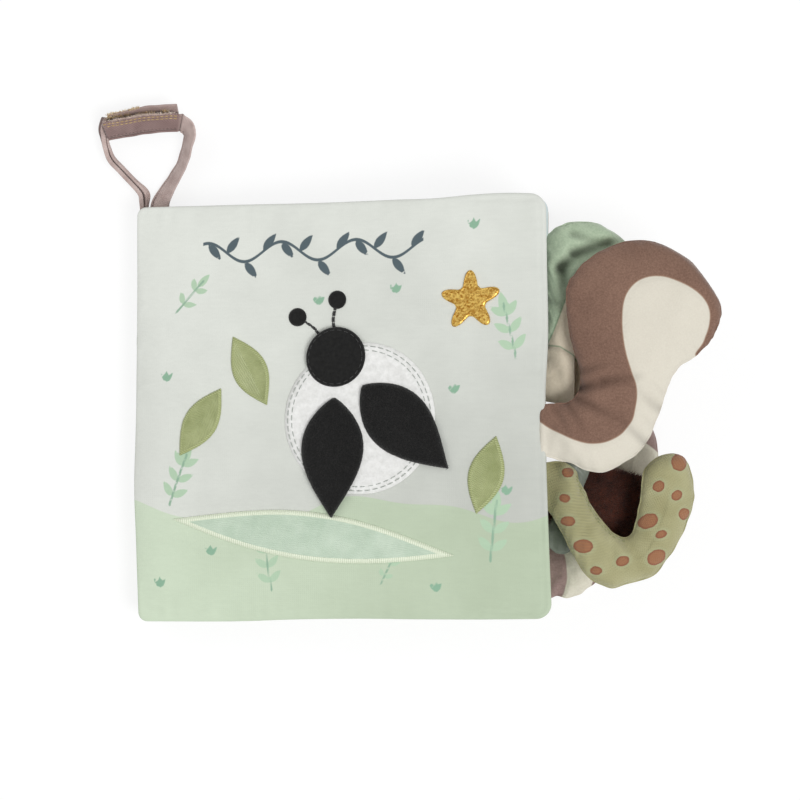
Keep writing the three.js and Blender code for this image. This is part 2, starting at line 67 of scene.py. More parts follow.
def softNoise(x, y, size, seed, waves=18):
    # a sum of sine waves in seeded directions whose lengths lie round size; about -1 to 1
    pick = np.random.default_rng(seed)
    angle = pick.uniform(0, 2 * np.pi, waves)
    turn = 2 * np.pi / (size * pick.uniform(0.7, 1.8, waves))
    phase = pick.uniform(0, 2 * np.pi, waves)
    total = np.zeros(np.shape(x))
    for a, k, p in zip(angle, turn, phase):
        total = total + np.sin(k * (np.cos(a) * x + np.sin(a) * y) + p)
    return total / math.sqrt(waves) / 1.4


def smoothPath(points, count, even=True):
    # a curve through the points: cubic pieces whose slopes are the mean of the two chords, with
    # a parameter that grows by each chord's square root; even spaces the result by length
    p = np.asarray(points, float)
    t = np.concatenate([[0], np.cumsum(np.linalg.norm(np.diff(p, axis=0), axis=1) ** 0.5)])
    step = np.diff(t)[:, None]
    chord = np.diff(p, axis=0) / step
    slope = np.concatenate([chord[:1], (chord[1:] * step[:-1] + chord[:-1] * step[1:])
                            / (step[1:] + step[:-1]), chord[-1:]])
    where = np.linspace(0, t[-1], count * 8 if even else count)
    k = np.clip(np.searchsorted(t, where, side="right") - 1, 0, len(step) - 1)
    h = step[k]
    s = ((where - t[k]) / h[:, 0])[:, None]
    curve = ((2 * s ** 3 - 3 * s ** 2 + 1) * p[k] + (s ** 3 - 2 * s ** 2 + s) * h * slope[k]
             + (3 * s ** 2 - 2 * s ** 3) * p[k + 1] + (s ** 3 - s ** 2) * h * slope[k + 1])
    if not even:
        return curve
    run = np.concatenate([[0], np.cumsum(np.linalg.norm(np.diff(curve, axis=0), axis=1))])
    place = np.linspace(0, run[-1], count)
    return np.stack([np.interp(place, run, curve[:, i]) for i in range(curve.shape[1])], 1)


def segmentDistance(x, y, ax, ay, bx, by):
    # distance of each point from the straight line between two points, and its share along it
    length = (bx - ax) ** 2 + (by - ay) ** 2
    share = np.clip(((x - ax) * (bx - ax) + (y - ay) * (by - ay)) / length, 0, 1)
    return np.hypot(x - ax - share * (bx - ax), y - ay - share * (by - ay)), share


def insideDistance(x, y, outline):
    # signed distance to a closed outline, negative inside: nearest side, sign by crossings
    near = np.full(np.shape(x), 1e9)
    inside = np.zeros(np.shape(x), bool)
    for (ax, ay), (bx, by) in zip(outline, np.roll(outline, -1, axis=0)):
        near = np.minimum(near, segmentDistance(x, y, ax, ay, bx, by)[0])
        crosses = (ay > y) != (by > y)
        at = ax + (y - ay) * (bx - ax) / (by - ay if by != ay else 1e-9)
        inside ^= crosses & (x < at)
    return np.where(inside, -near, near)


def turned(x, y, middle, degrees):
    # places as seen from a turned frame: along it and across it
    turn = math.radians(degrees)
    x, y = x - middle[0], y - middle[1]
    return x * math.cos(turn) + y * math.sin(turn), y * math.cos(turn) - x * math.sin(turn)


def roundRim(share):
    # a quarter circle that rises from 0 to 1 with the share
    return np.sqrt(np.clip(1 - (1 - np.clip(share, 0, 1)) ** 2, 0, 1))


def bell(value):
    # 1 at nought, falling to both sides as the exponential of the square's negative
    return np.exp(-value ** 2)


def borderOf(field):
    # true all round the rim of a grid
    border = np.ones(field.shape, bool)
    border[1:-1, 1:-1] = False
    return border


def unit(v):
    return v / np.maximum(np.linalg.norm(v, axis=-1, keepdims=True), 1e-9)


def surfaceNormals(grid):
    # cross product of the two directions along the grid
    return unit(np.cross(np.gradient(grid, axis=1), np.gradient(grid, axis=0)))


# Meshes
def makeMesh(name, places, faces, marks=None, uv=None):
    # places in mm; a closed mesh whose signed volume is negative has its faces turned round
    places = np.asarray(places, float)
    a, b, c, d = (places[faces[:, i]] for i in (0, 1, 2, -1))
    volume = np.einsum("ij,ij->i", a, np.cross(b, c)) + (
        np.einsum("ij,ij->i", a, np.cross(c, d)) if faces.shape[1] == 4 else 0)
    if volume.sum() < 0:
        faces = faces[:, ::-1]
    mesh = bpy.data.meshes.new(name)
    mesh.from_pydata((places * mm).tolist(), [], faces.tolist())
    mesh.polygons.foreach_set("use_smooth", np.ones(len(faces), bool))
    for mark, values in (marks or {}).items():
        field = mesh.attributes.new(mark, "FLOAT", "POINT")
        field.data.foreach_set("value", np.asarray(values, np.float32).ravel())
    if uv is not None:
        layer = mesh.uv_layers.new(name="ClothUV")
        corner = np.empty(len(mesh.loops), np.int32)
        mesh.loops.foreach_get("vertex_index", corner)
        layer.data.foreach_set("uv", np.asarray(uv, np.float32)[corner].ravel())
    mesh.update()
    piece = bpy.data.objects.new(name, mesh)
    scene.collection.objects.link(piece)
    return piece


def gridFaces(index):
    return np.stack([index[:-1, :-1], index[:-1, 1:], index[1:, 1:], index[1:, :-1]],
                    -1).reshape(-1, 4)


def closedPair(name, over, under, marks=None, uv=None, underMarks=None):
    # two sheets over one grid that share their border, so the piece is closed all round
    rows, columns = over.shape[:2]
    top = np.arange(rows * columns).reshape(rows, columns)
    low = top.copy()
    low[1:-1, 1:-1] = top.size + np.arange((rows - 2) * (columns - 2)).reshape(rows - 2, -1)
    places = np.concatenate([over.reshape(-1, 3), under[1:-1, 1:-1].reshape(-1, 3)])
    upper, lower = gridFaces(top), gridFaces(low)[:, ::-1]
    every = {mark: np.concatenate([
        field.ravel(), (underMarks or marks)[mark][1:-1, 1:-1].ravel()])
        for mark, field in (marks or {}).items()}
    flat = None
    if uv is not None:
        flat = np.concatenate([uv.reshape(-1, 2), uv[1:-1, 1:-1].reshape(-1, 2)])
    return makeMesh(name, places, np.concatenate([upper, lower]), every, flat)


def thickSheet(name, grid, thick, marks=None, uv=None):
    # each side lies half a thickness along the normal; the edge is a half round
    run = [pathLength(grid, axis) for axis in (0, 1)]
    rim = np.minimum.reduce([run[0], run[0][-1:] - run[0], run[1], run[1][:, -1:] - run[1]])
    half = thick / 2 * roundRim(rim / (thick / 2))
    normal = surfaceNormals(grid)
    return closedPair(name, grid + normal * half[..., None], grid - normal * half[..., None],
                      marks, uv)


def pathLength(grid, axis):
    # running length of each grid line from its start
    step = np.linalg.norm(np.diff(grid, axis=axis), axis=-1)
    first = np.zeros_like(np.take(step, [0], axis=axis))
    return np.concatenate([first, np.cumsum(step, axis=axis)], axis=axis)


def edgeSpacing(length, middle, near=(0, 0.12, 0.45, 1.0, 1.7, 2.6, 3.6, 4.8, 6.1)):
    # places along a line from 0 to length: close together at both ends, even between them
    near = np.asarray(near)
    count = max(2, int(round((length - 2 * near[-1]) / middle)))
    inner = np.linspace(near[-1], length - near[-1], count + 1)[1:-1]
    return np.concatenate([near, inner, length - near[::-1]])


def scatter(grid, count, seed):
    # seeded places on a grid surface, as many on each cell as its share of the area
    pick = np.random.default_rng(seed)
    a, b = grid[:-1, 1:] - grid[:-1, :-1], grid[1:, :-1] - grid[:-1, :-1]
    area = np.linalg.norm(np.cross(a, b), axis=-1).ravel()
    cell = pick.choice(len(area), count, p=area / area.sum())
    r, c = np.divmod(cell, grid.shape[1] - 1)
    s, t = pick.random((2, count, 1))
    point = ((1 - s) * (1 - t) * grid[r, c] + (1 - s) * t * grid[r, c + 1]
             + s * (1 - t) * grid[r + 1, c] + s * t * grid[r + 1, c + 1])
    return point, surfaceNormals(grid)[r, c]


def tufts(name, point, normal, length, width, lean, seed):
    # each tuft is a thin pyramid on three sides that stands on the cloth and leans over
    pick = np.random.default_rng(seed)
    count = len(point)
    side = unit(np.cross(normal, pick.normal(size=(count, 3))))
    other = np.cross(normal, side)
    tall = length * pick.uniform(0.6, 1.25, (count, 1))
    tip = point + normal * tall + (side * pick.normal(size=(count, 1)) * 0.35
                                   + np.asarray(lean) + other * pick.normal(size=(count, 1))
                                   * 0.35) * tall
    foot = [point + width * (math.cos(a) * side + math.sin(a) * other) - 0.1 * normal
            for a in (0, 2.094, 4.189)]
    places = np.stack([*foot, tip], 1).reshape(-1, 3)
    base = 4 * np.arange(count)[:, None]
    faces = np.concatenate([base + np.array(f) for f in
                            ([0, 1, 3], [1, 2, 3], [2, 0, 3], [2, 1, 0])])
    shade = np.repeat(pick.random(count), 4)
    return makeMesh(name, places, faces, {"tuft": shade})


def stitches(name, paths, stitch):
    # thread laid along each path: a six-sided spindle for each stitch, its ends in the cloth
    allPlaces, allFaces, start = [], [], 0
    share = np.array([0, 0.14, 0.5, 0.86, 1.0])
    swell = np.array([0.35, 0.9, 1.0, 0.9, 0.35]) * stitch["radius"]
    lift = np.array([-0.5, 0.35, 0.6, 0.35, -0.5]) * stitch["radius"]
    round6 = np.arange(6) * math.pi / 3
    for path, normal in paths:
        run = pathLength(path[:, None], 0)[:, 0]
        pitch = stitch["length"] + stitch["gap"]
        first = np.arange(0, run[-1] - stitch["length"], pitch)
        if not len(first):
            continue
        at = first[:, None] + share * stitch["length"]
        middle = np.stack([np.interp(at, run, path[:, i]) for i in range(3)], -1)
        out = unit(np.stack([np.interp(at, run, normal[:, i]) for i in range(3)], -1))
        ahead = unit(np.gradient(middle, axis=1))
        side = unit(np.cross(ahead, out))
        ring = (middle[:, :, None] + out[:, :, None] * lift[:, None, None]
                + swell[:, None, None] * (np.cos(round6)[:, None] * side[:, :, None]
                                          + np.sin(round6)[:, None] * out[:, :, None]))
        allPlaces.append(ring.reshape(-1, 3))
        one = np.arange(30).reshape(5, 6)
        closed = np.concatenate([one, one[:, :1]], 1)
        caps = np.array([[0, 1, 2, 3], [0, 3, 4, 5], [24, 27, 26, 25], [24, 29, 28, 27]])
        faces = np.concatenate([gridFaces(closed), caps[:, ::-1]])
        allFaces.append((start + 30 * np.arange(len(first))[:, None, None] + faces
                         ).reshape(-1, 4))
        start += 30 * len(first)
    return makeMesh(name, np.concatenate(allPlaces), np.concatenate(allFaces))


# Finishes
def hexColour(code):
    # sRGB hex to the linear values that Blender mixes
    part = [int(code[i:i + 2], 16) / 255 for i in (1, 3, 5)]
    return [v / 12.92 if v <= 0.04045 else ((v + 0.055) / 1.055) ** 2.4 for v in part] + [1]


def addNode(finish, kind, inputs=None, out=0, **settings):
    # each input is a number, a hex colour or another node's output; one output is given back
    tree = finish.node_tree
    made = tree.nodes.new(kind)
    for key, value in settings.items():
        setattr(made, key, value)
    for socket, value in (inputs or {}).items():
        if isinstance(value, bpy.types.NodeSocket):
            tree.links.new(value, made.inputs[socket])
        else:
            made.inputs[socket].default_value = (
                hexColour(value) if isinstance(value, str) else value)
    return made.outputs[out]


def startFinish(name, **inputs):
    made = bpy.data.materials.new(name)
    made.use_nodes = True
    shader = made.node_tree.nodes["Principled BSDF"]
    for socket, value in inputs.items():
        shader.inputs[socket.replace("_", " ")].default_value = value
    return made, addNode(made, "ShaderNodeTexCoord", out="Object")


def coats(finish, colour, *layers):
    # each layer goes over the colour so far: its share, its colour and how it blends
    for share, paint, *blend in layers:
        colour = addNode(finish, "ShaderNodeMix", {0: share, 6: colour, 7: paint}, 2,
                         data_type="RGBA", blend_type=(blend or ["MIX"])[0])
    return colour


def surface(finish, colour, *reliefs):
    # the colour goes on the shader, then relief over relief: a height and its depth in mm
    tree = finish.node_tree
    shader = tree.nodes["Principled BSDF"]
    tree.links.new(colour, shader.inputs["Base Color"])
    below = {}
    for height, depth in reliefs:
        below["Normal"] = addNode(finish, "ShaderNodeBump", {
            "Height": height, "Distance": depth * mm, **below})
    tree.links.new(below["Normal"], shader.inputs["Normal"])
    return finish


def blotches(finish, spot, size, detail=3.0, rough=0.55, ends=None, to=(0, 1)):
    # noise whose lumps are about size mm; where ends are given, they are stretched to others
    lumps = addNode(finish, "ShaderNodeTexNoise", {
        "Vector": spot, "Scale": 1 / (size * mm), "Detail": detail, "Roughness": rough})
    if ends is None:
        return lumps
    return addNode(finish, "ShaderNodeMapRange", {
        0: lumps, 1: ends[0], 2: ends[1], 3: to[0], 4: to[1]})


def threadRows(finish, spot, spacing, ways="XY", wander=0.6):
    # even bands, one for each thread, and the product of two sets where they cross in a weave;
    # a wave's length is 2 pi / 20 / scale
    bands = [addNode(finish, "ShaderNodeTexWave", {
        "Vector": spot, "Scale": 2 * math.pi / 20 / (spacing * mm), "Distortion": wander,
        "Detail": 1.0, "Detail Scale": 2.0}, "Fac", bands_direction=way) for way in ways]
    if len(bands) == 1:
        return bands[0]
    return addNode(finish, "ShaderNodeMath", dict(enumerate(bands)), operation="MULTIPLY")


def markShare(finish, mark, low=0.18, high=-0.18, outLow=0.0, outHigh=1.0):
    # a mark kept on the mesh, stretched to a share; left alone, it is 1 on the inner side of a
    # distance in mm, with an edge as soft as a thread is wide
    field = addNode(finish, "ShaderNodeAttribute", out="Fac", attribute_name=mark)
    return addNode(finish, "ShaderNodeMapRange", {
        0: field, 1: low, 2: high, 3: outLow, 4: outHigh})


def thinLine(finish, mark, half, soft=0.15):
    # 1 on a line where a signed distance is nought, half mm to each side
    field = addNode(finish, "ShaderNodeAttribute", out="Fac", attribute_name=mark)
    away = addNode(finish, "ShaderNodeMath", {0: field}, operation="ABSOLUTE")
    return addNode(finish, "ShaderNodeMapRange", {0: away, 1: half + soft, 2: half - soft})


# Painted shade: the cloth's colour is made palest at the top of the spine and darker down it and
# across the page, in place of the light falling off over the cover: where the change starts and
# ends, in metres, and how much each side of the page takes of it
coverPaintedShade = {"across": (-0.076, 0.068), "down": (0.083, -0.031), "added": (0, 0.2),
              "shared": (0.23, 0.8), "cloud": 0.15, "vineHalf": 0.6}


def printedCotton(name, field, ground, prints=()):
    # Fine plain-weave cotton with screen-printed colours: matt, thread by thread a little
    # lighter and darker. Its real threads are 0.3 mm apart, drawn at 0.9 mm so that they show.
    made, spot = startFinish(name, Roughness=0.86, Sheen_Weight=0.12, Sheen_Roughness=0.5,
                             Specular_IOR_Level=0.25)
    x, y = (addNode(made, "ShaderNodeSeparateXYZ", {0: spot}, axis) for axis in "XY")
    added, shared = (addNode(made, "ShaderNodeMapRange", dict(enumerate(
        (x, *coverPaintedShade["across"], *coverPaintedShade[part])))) for part in ("added", "shared"))
    down = addNode(made, "ShaderNodeMapRange", dict(enumerate((y, *coverPaintedShade["down"]))))
    cloud = blotches(made, spot, 38, ends=(0.3, 0.7),
                     to=(-coverPaintedShade["cloud"], coverPaintedShade["cloud"]))
    across = addNode(made, "ShaderNodeMath", {0: cloud, 1: added}, operation="ADD")
    paintedShade = addNode(made, "ShaderNodeMath", {0: down, 1: shared, 2: across},
                  operation="MULTIPLY_ADD", use_clamp=True)
    # painted shade: the field and the ground each go from a lit colour to a shaded one, with a
    # little random tone from the cloud
    layers = [(paintedShade, field[1]),
              (markShare(made, "ground"), coats(made, ground[0], (paintedShade, ground[1])))]
    for mark, code in prints:
        share = markShare(made, mark)
        if mark == "vineEnds":
            vine = thinLine(made, "vine", coverPaintedShade["vineHalf"])
            share = addNode(made, "ShaderNodeMath", {0: share, 1: vine}, operation="MULTIPLY")
        layers.append((share, code))
    # slubs: stretches of thicker thread, long across the page
    laid = addNode(made, "ShaderNodeMapping", {"Vector": spot, "Scale": (0.12, 1, 1)})
    slub = blotches(made, laid, 1.3, ends=(0.3, 0.75), to=(0.978, 1.01))
    grey = addNode(made, "ShaderNodeCombineColor", {0: slub, 1: slub, 2: slub})
    return surface(made, coats(made, field[0], *layers, (1.0, grey, "MULTIPLY")),
                   (threadRows(made, spot, 0.9), 0.035), (blotches(made, spot, 2.6), 0.11))


def napped(name, regions, base, size, sheen, nap):
    # Brushed pile cloth such as velour or suede cloth: no gloss, a soft bright rim from the pile,
    # heathered by short fibres of lighter and darker colour, and darkened along its creases by
    # painted shade.
    made, spot = startFinish(name, Roughness=0.95, Sheen_Weight=sheen, Sheen_Roughness=0.4,
                             Specular_IOR_Level=0.15)
    fibre = blotches(made, spot, size, 4.0, 0.65, (0.3, 0.7))
    cloud = blotches(made, spot, 22, 2.0, ends=(0.3, 0.7), to=(0, 0.25))
    tone = addNode(made, "ShaderNodeMath", {0: fibre, 1: 0.75, 2: cloud},
                   operation="MULTIPLY_ADD")
    layers = [(tone, base[1])]
    for mark, (dark, light, seam) in regions:
        layers += [(markShare(made, mark), coats(made, dark, (tone, light))),
                   (thinLine(made, mark, 0.2, 0.3), seam)]
    # painted shade: the colour is multiplied darker along the tails' creases
    layers.append((markShare(made, "hollow", 0, 1, 0, 0.68), "#2c221c", "MULTIPLY"))
    return surface(made, coats(made, base[0], *layers),
                   (blotches(made, spot, size * 0.8, 5.0, 0.7), nap))


def satin(name, base, border, rim):
    # Satin is smooth and shines along its floats. The border is rayon embroidery thread laid
    # side by side across the edge, so it shines in short bars.
    made, spot = startFinish(name, Roughness=0.42, Sheen_Weight=0.15, Anisotropic=0.4)
    bars = threadRows(made, addNode(made, "ShaderNodeUVMap", uv_map="ClothUV"), 0.9, "X", 0.4)
    share = markShare(made, "rim", rim + 0.12, rim - 0.12)
    fill = addNode(made, "ShaderNodeAttribute", out="Fac", attribute_name="row")
    laid = addNode(made, "ShaderNodeMath", {0: fill, 1: 2 * math.pi}, operation="MULTIPLY")
    row = addNode(made, "ShaderNodeMath", {0: laid}, operation="SINE")
    height = addNode(made, "ShaderNodeMix", {0: share, 2: row, 3: bars})
    return surface(made, coats(made, base[0], (blotches(made, spot, 9, ends=(0.3, 0.7)), base[1]),
                               (share, coats(made, border[0], (bars, border[1])))),
                   (height, 0.09))


def fibrous(name, pair, lump, depth, ends=(0.3, 0.7), **shader):
    # loose or twisted fibres with no weave that shows: lumps of a size in mm
    made, spot = startFinish(name, **shader)
    mat = blotches(made, spot, *lump)
    share = addNode(made, "ShaderNodeMapRange", {0: mat, 1: ends[0], 2: ends[1]})
    return surface(made, coats(made, pair[0], (share, pair[1])), (mat, depth))


def plainThread(name, *pair):
    # Twisted polyester thread: a slight shine, two plies that lie slantwise
    return fibrous(name, pair, (0.5, 2.0), 0.06, (0.35, 0.65), Roughness=0.55,
                   Sheen_Weight=0.2)


def woolFelt(name, *pair):
    # Wool felt: matted fibres with no weave, dull, slightly uneven
    return fibrous(name, pair, (1.4, 5.0, 0.7), 0.2, Roughness=0.97, Sheen_Weight=0.2,
                   Sheen_Roughness=0.6, Specular_IOR_Level=0.1)


def pileTip(name, dark, light, sheen):
    # Polyester pile: each tuft its own shade, shining a little along its length
    made, spot = startFinish(name, Roughness=0.7, Sheen_Weight=sheen, Sheen_Roughness=0.35)
    tuft = addNode(made, "ShaderNodeAttribute", out="Fac", attribute_name="tuft")
    cloud = blotches(made, spot, 5, ends=(0.3, 0.7), to=(-0.35, 0.35))
    both = addNode(made, "ShaderNodeMath", {0: tuft, 1: cloud}, operation="ADD",
                   use_clamp=True)
    return surface(made, coats(made, dark, (both, light)),
                   (blotches(made, spot, 0.6), 0.05))


def place(piece, finish, body, slot, nodes=(), fill=None):
    # what each piece is given: its finish, and its body where one is named, else its place is
    # fixed in the world; the CAD parts that it stands for are hidden
    piece.data.materials.append(finish)
    if nodes:
        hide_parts(*nodes)
    if isinstance(body, str):
        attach(piece, body)
    else:
        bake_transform(piece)


def clothStrip(name, grid, thick, marks, uv, flat, rests, finish, body, slot, nodes=(), **more):
    # a sheet of cloth of a given thickness, placed with its finish
    piece = thickSheet(name, grid, thick, marks, uv)
    place(piece, finish, body, slot, nodes)


# Covers and leaves
book = {
    "width": 182.0, "foreRadius": 6.5, "spineRadius": 4.0, "middle": 91.2, "drawIn": 1.6,
    "half": 91.0, "spine": -91.0, "start": 0.2, "rimHalf": 1.05, "rimRound": 1.3, "power": 3.5,
    "spinePower": 9.0,
    # a folded ridge beside the fore edge: how far in, how wide and how deep
    "foreFold": (2.4, 0.5, 0.4),
    # how far each edge of the sewn cloth strays from the square, at places along it
    "leftStray": ((-91, 0.2), (-60, -0.9), (-31, -1.8), (4, -0.9), (45, -0.5), (91, -0.4)),
    "rightStray": ((-91, 1.9), (-80, 1.8), (-40, 1.3), (4, 0.9), (30, 1.8), (68, 0.3),
                   (91, -0.7)),
    "topStray": ((-91, -2.0), (-46, -1.5), (-6, -1.2), (25, -0.4), (42, -0.1), (60, 1.3),
                 (74, 1.8), (91, 1.2)),
    "bottomStray": ((-91, -3.4), (-46, -2.6), (-20, -1.3), (7, -0.5), (34, -0.3), (60, 0.1),
                    (91, 0.9)),
}
hidden = {"keep": 0.3, "step": 2.4, "rumple": 0.12}
panels = {
    "back_cover": {**hidden, "pivot": 0.0, "fan": 0.0, "seam": 3.65, "over": 1.0, "under": 2.6,
                   "seed": 11},
    "leaf_2": {**hidden, "pivot": 5.85, "fan": 4.522, "seam": 2.0, "over": 1.3, "under": 0.8,
               "seed": 12},
    "leaf_1": {**hidden, "pivot": 10.35, "fan": 7.593, "seam": 2.0, "over": 1.3, "under": 0.8,
               "seed": 13},
    "front_cover": {"pivot": 14.85, "fan": 10.303, "seam": 2.2, "over": 4.0, "under": 1.0,
                    "seed": 14, "keep": 1.0, "step": 1.25, "rumple": 0.34},
}
# sizes in mm of the waves and creases in the cloth, and how far a pucker runs in from the seam
rumples = {"wave": 42, "line": 24, "dimple": 11, "pucker": 6.5, "reach": 6, "under": 15,
           "sway": 30}


def stray(pairs, at):
    # a smooth curve through the listed places
    curve = smoothPath(pairs, 60, even=False)
    return np.interp(at, curve[:, 0], curve[:, 1])


def toWorld(panel, x, y, z):
    # the panel leans on its fan angle about its place in the spine
    lean = math.radians(panel["fan"])
    return np.stack([book["spine"] + x * math.cos(lean) - z * math.sin(lean), y + 0 * x,
                     panel["pivot"] + x * math.sin(lean) + z * math.cos(lean)], -1)


def edgeDistance(x, y):
    # distance in from the rounded square, before its edges stray
    radius = np.where(x > book["middle"], book["foreRadius"], book["spineRadius"])
    acrossX = np.abs(x - book["middle"]) - (book["half"] - radius)
    acrossY = np.abs(y) - (book["half"] - radius)
    corner = np.hypot(np.maximum(acrossX, 0), np.maximum(acrossY, 0))
    return radius - corner - np.minimum(np.maximum(acrossX, acrossY), 0)


def crown(x, y):
    # 1 in the middle and 0 at the edges: one less a high power of the share, both ways
    half = book["half"]
    fore = 1 - (np.clip(x - book["middle"], 0, half) / half) ** book["power"]
    back = 1 - (np.clip(book["middle"] - x, 0, half) / half) ** book["spinePower"]
    return fore * back * (1 - (np.abs(np.clip(y, -half, half)) / half) ** book["power"])


def rumple(x, y, panel):
    # soft waves over the whole cloth, and puckers that run in from the seam and fade out
    seed = panel["seed"]
    along = np.where(np.abs(x - book["middle"]) > np.abs(y), y, x)
    pucker = softNoise(along, along * 0.1, rumples["pucker"], seed + 40) * np.exp(
        -np.clip(edgeDistance(x, y), 0, 99) / rumples["reach"])
    line = softNoise(x * 0.35 + y * 0.2, y, rumples["line"], seed + 60)
    return panel["rumple"] * (1.1 * softNoise(x, y, rumples["wave"], seed) + 0.55 * line
                              + 0.25 * softNoise(x, y, rumples["dimple"], seed + 20) + pucker)


def panelOver(panel, x, y):
    # upper side in the panel's own plane: a half-round rim, then the crown and the rumples
    deep = np.clip(edgeDistance(x, y), 0, None)
    rim = roundRim(deep / book["rimRound"])
    inset, width, depth = book["foreFold"]
    fold = depth * bell((deep - inset) / width) * (x > book["middle"] + 60)
    return (panel["seam"] + book["rimHalf"] * rim + panel["over"] * crown(x, y)
            + smoothStep(deep / 4) * rumple(x, y, panel) - fold * rim)


def panelUnder(panel, x, y):
    # lower side: flat but for its rim and a few low dimples
    deep = np.clip(edgeDistance(x, y), 0, None)
    flat = np.minimum(crown(x, y) / 0.8, 1)
    low = panel["seam"] - book["rimHalf"] * roundRim(deep / book["rimRound"]) \
        - panel["under"] * flat
    dimple = 1 + softNoise(x, y, rumples["under"], panel["seed"] + 5)
    return low + 0.3 * smoothStep(deep / 4) * dimple / 2


def strayed(x, y, panel):
    # each point takes its share of the two edges' strays across and of the two along
    share = np.clip((x - book["start"]) / book["width"], 0, 1)
    rise = np.clip((y + book["half"]) / book["width"], 0, 1)
    along = x + book["spine"]
    movedX = x + (1 - share) * stray(book["leftStray"], y) + share * (
        panel["keep"] * stray(book["rightStray"], y) - book["drawIn"] * np.cos(
            np.pi * np.clip(y / (book["width"] - 2 * book["foreRadius"]), -0.5, 0.5)))
    return movedX, (y + (1 - rise) * stray(book["bottomStray"], along)
                    + rise * stray(book["topStray"], along))


def panelSway(panel, x, y):
    # both cloths of a panel rise and fall together
    return 0.5 * softNoise(x, y, rumples["sway"], panel["seed"] + 80) * panel["rumple"]


def panelGrid(panel):
    # rows across the panel; each row ends where the rounded corners let it
    down = edgeSpacing(book["width"], panel["step"])
    rowY, share = down - book["half"], down / book["width"]
    inRow = book["half"] - np.abs(rowY)

    def inset(radius):
        return radius - np.sqrt(np.clip(radius ** 2 - np.clip(radius - inRow, 0, None) ** 2,
                                        0, None))
    left = book["start"] + inset(book["spineRadius"])
    right = book["start"] + book["width"] - inset(book["foreRadius"])
    x = left[:, None] + share[None] * (right - left)[:, None]
    return x, np.repeat(rowY[:, None], len(share), 1)


# Printed patterns, as distances in mm from each print's edge
def leafMark(x, y, middle, degrees, length, width):
    # negative inside a pointed leaf whose half width is a sine of the place along it
    a, b = turned(x, y, middle, degrees)
    share = np.clip(a / length + 0.5, 0, 1)
    return np.maximum(np.abs(b) - width / 2 * np.sin(np.pi * share ** 0.8),
                      np.abs(a) - length / 2)


def sprig(x, y, root, degrees, size, pairs):
    # leaves in pairs along a short stem
    turn = math.radians(degrees)
    tip = (root[0] + size * math.cos(turn), root[1] + size * math.sin(turn))
    stem = segmentDistance(x, y, *root, *tip)[0] - size * 0.014 - 0.2
    marks = [leafMark(x, y, tip, degrees, size * 0.4, size * 0.16)]
    for pair in range(pairs):
        share = (pair + 0.6) / (pairs + 0.4)
        for opening in (turn - 0.85, turn + 0.85):
            middle = (root[0] + share * size * math.cos(turn) + 0.17 * size * math.cos(opening),
                      root[1] + share * size * math.sin(turn) + 0.17 * size * math.sin(opening))
            marks.append(leafMark(x, y, middle, math.degrees(opening), size * 0.34,
                                  size * 0.14))
    return np.minimum.reduce(marks), stem


prints = {
    "front_cover_over": {
        "ground": (-43.0, 5.0, 118.0, 0.6),
        "garland": {"from": -60.0, "to": 38.0, "y": 70.0, "swing": 4.2, "wave": 33.0,
                    "leaf": (9.5, 3.6), "step": 8.2},
        "sprigs": (((-74, -40), 70, 24, 3), ((-30, -78), 96, 22, 3), ((66, -66), 82, 26, 3),
                   ((78, 20), 104, 25, 3), ((-72, 44), 48, 19, 2), ((18, -76), 62, 15, 2)),
        "tufts": ((-56, -62), (-6, -60), (42, -79), (-80, -76), (74, -38), (26, 50), (-8, 46),
                  (-76, 14), (60, 76), (52, 6))},
    "front_cover_under": {"ground": (-30, 6, 150, 2.0), "sprigs": (((40, -40), 100, 40, 4),
                    ((-50, 10), 70, 46, 4)), "tufts": ((0, 30), (60, 50), (-20, -60))},
    "leaf_1_over": {"ground": (-20, 9, 128, 1.0), "sprigs": (((-40, -40), 84, 52, 5),
                    ((30, -20), 110, 38, 4)), "tufts": ((-10, 40), (50, 56), (10, -70))},
    "leaf_1_under": {"ground": (-38, 4, 90, 3.0), "sprigs": (((0, -50), 90, 60, 5),),
                     "tufts": ((-50, 40), (50, 20), (-30, -70), (60, -66))},
    "leaf_2_over": {"ground": (-12, 8, 170, 0.0), "sprigs": (((50, -60), 96, 50, 5),
                    ((-56, -50), 80, 44, 4)), "tufts": ((0, 20), (-30, 60), (66, 40))},
    "leaf_2_under": {"ground": (-34, 7, 105, 4.0), "sprigs": (((-20, -30), 60, 44, 4),
                     ((46, 10), 120, 36, 3)), "tufts": ((-60, 20), (10, 60), (0, -70))},
    "back_cover_over": {"ground": (-25, 6, 140, 5.0), "sprigs": (((20, -46), 92, 56, 5),
                        ((-60, -10), 76, 30, 3)), "tufts": ((60, 20), (-20, 50), (60, -70))},
    "back_cover_under": {"ground": (-43, 5, 118, 2.6), "sprigs": (((-40, -60), 80, 30, 3),
                         ((50, -20), 100, 34, 4)), "tufts": ((0, 40), (-60, 30), (20, -70))},
}


def groundMark(u, y, ground):
    # height of the ground's edge: one long wave with a shorter one on it
    height, swing, wave, phase = ground
    return y - (height + swing * np.sin(2 * np.pi * u / wave + phase)
                + 0.35 * swing * np.sin(4.7 * np.pi * u / wave + 2 * phase))


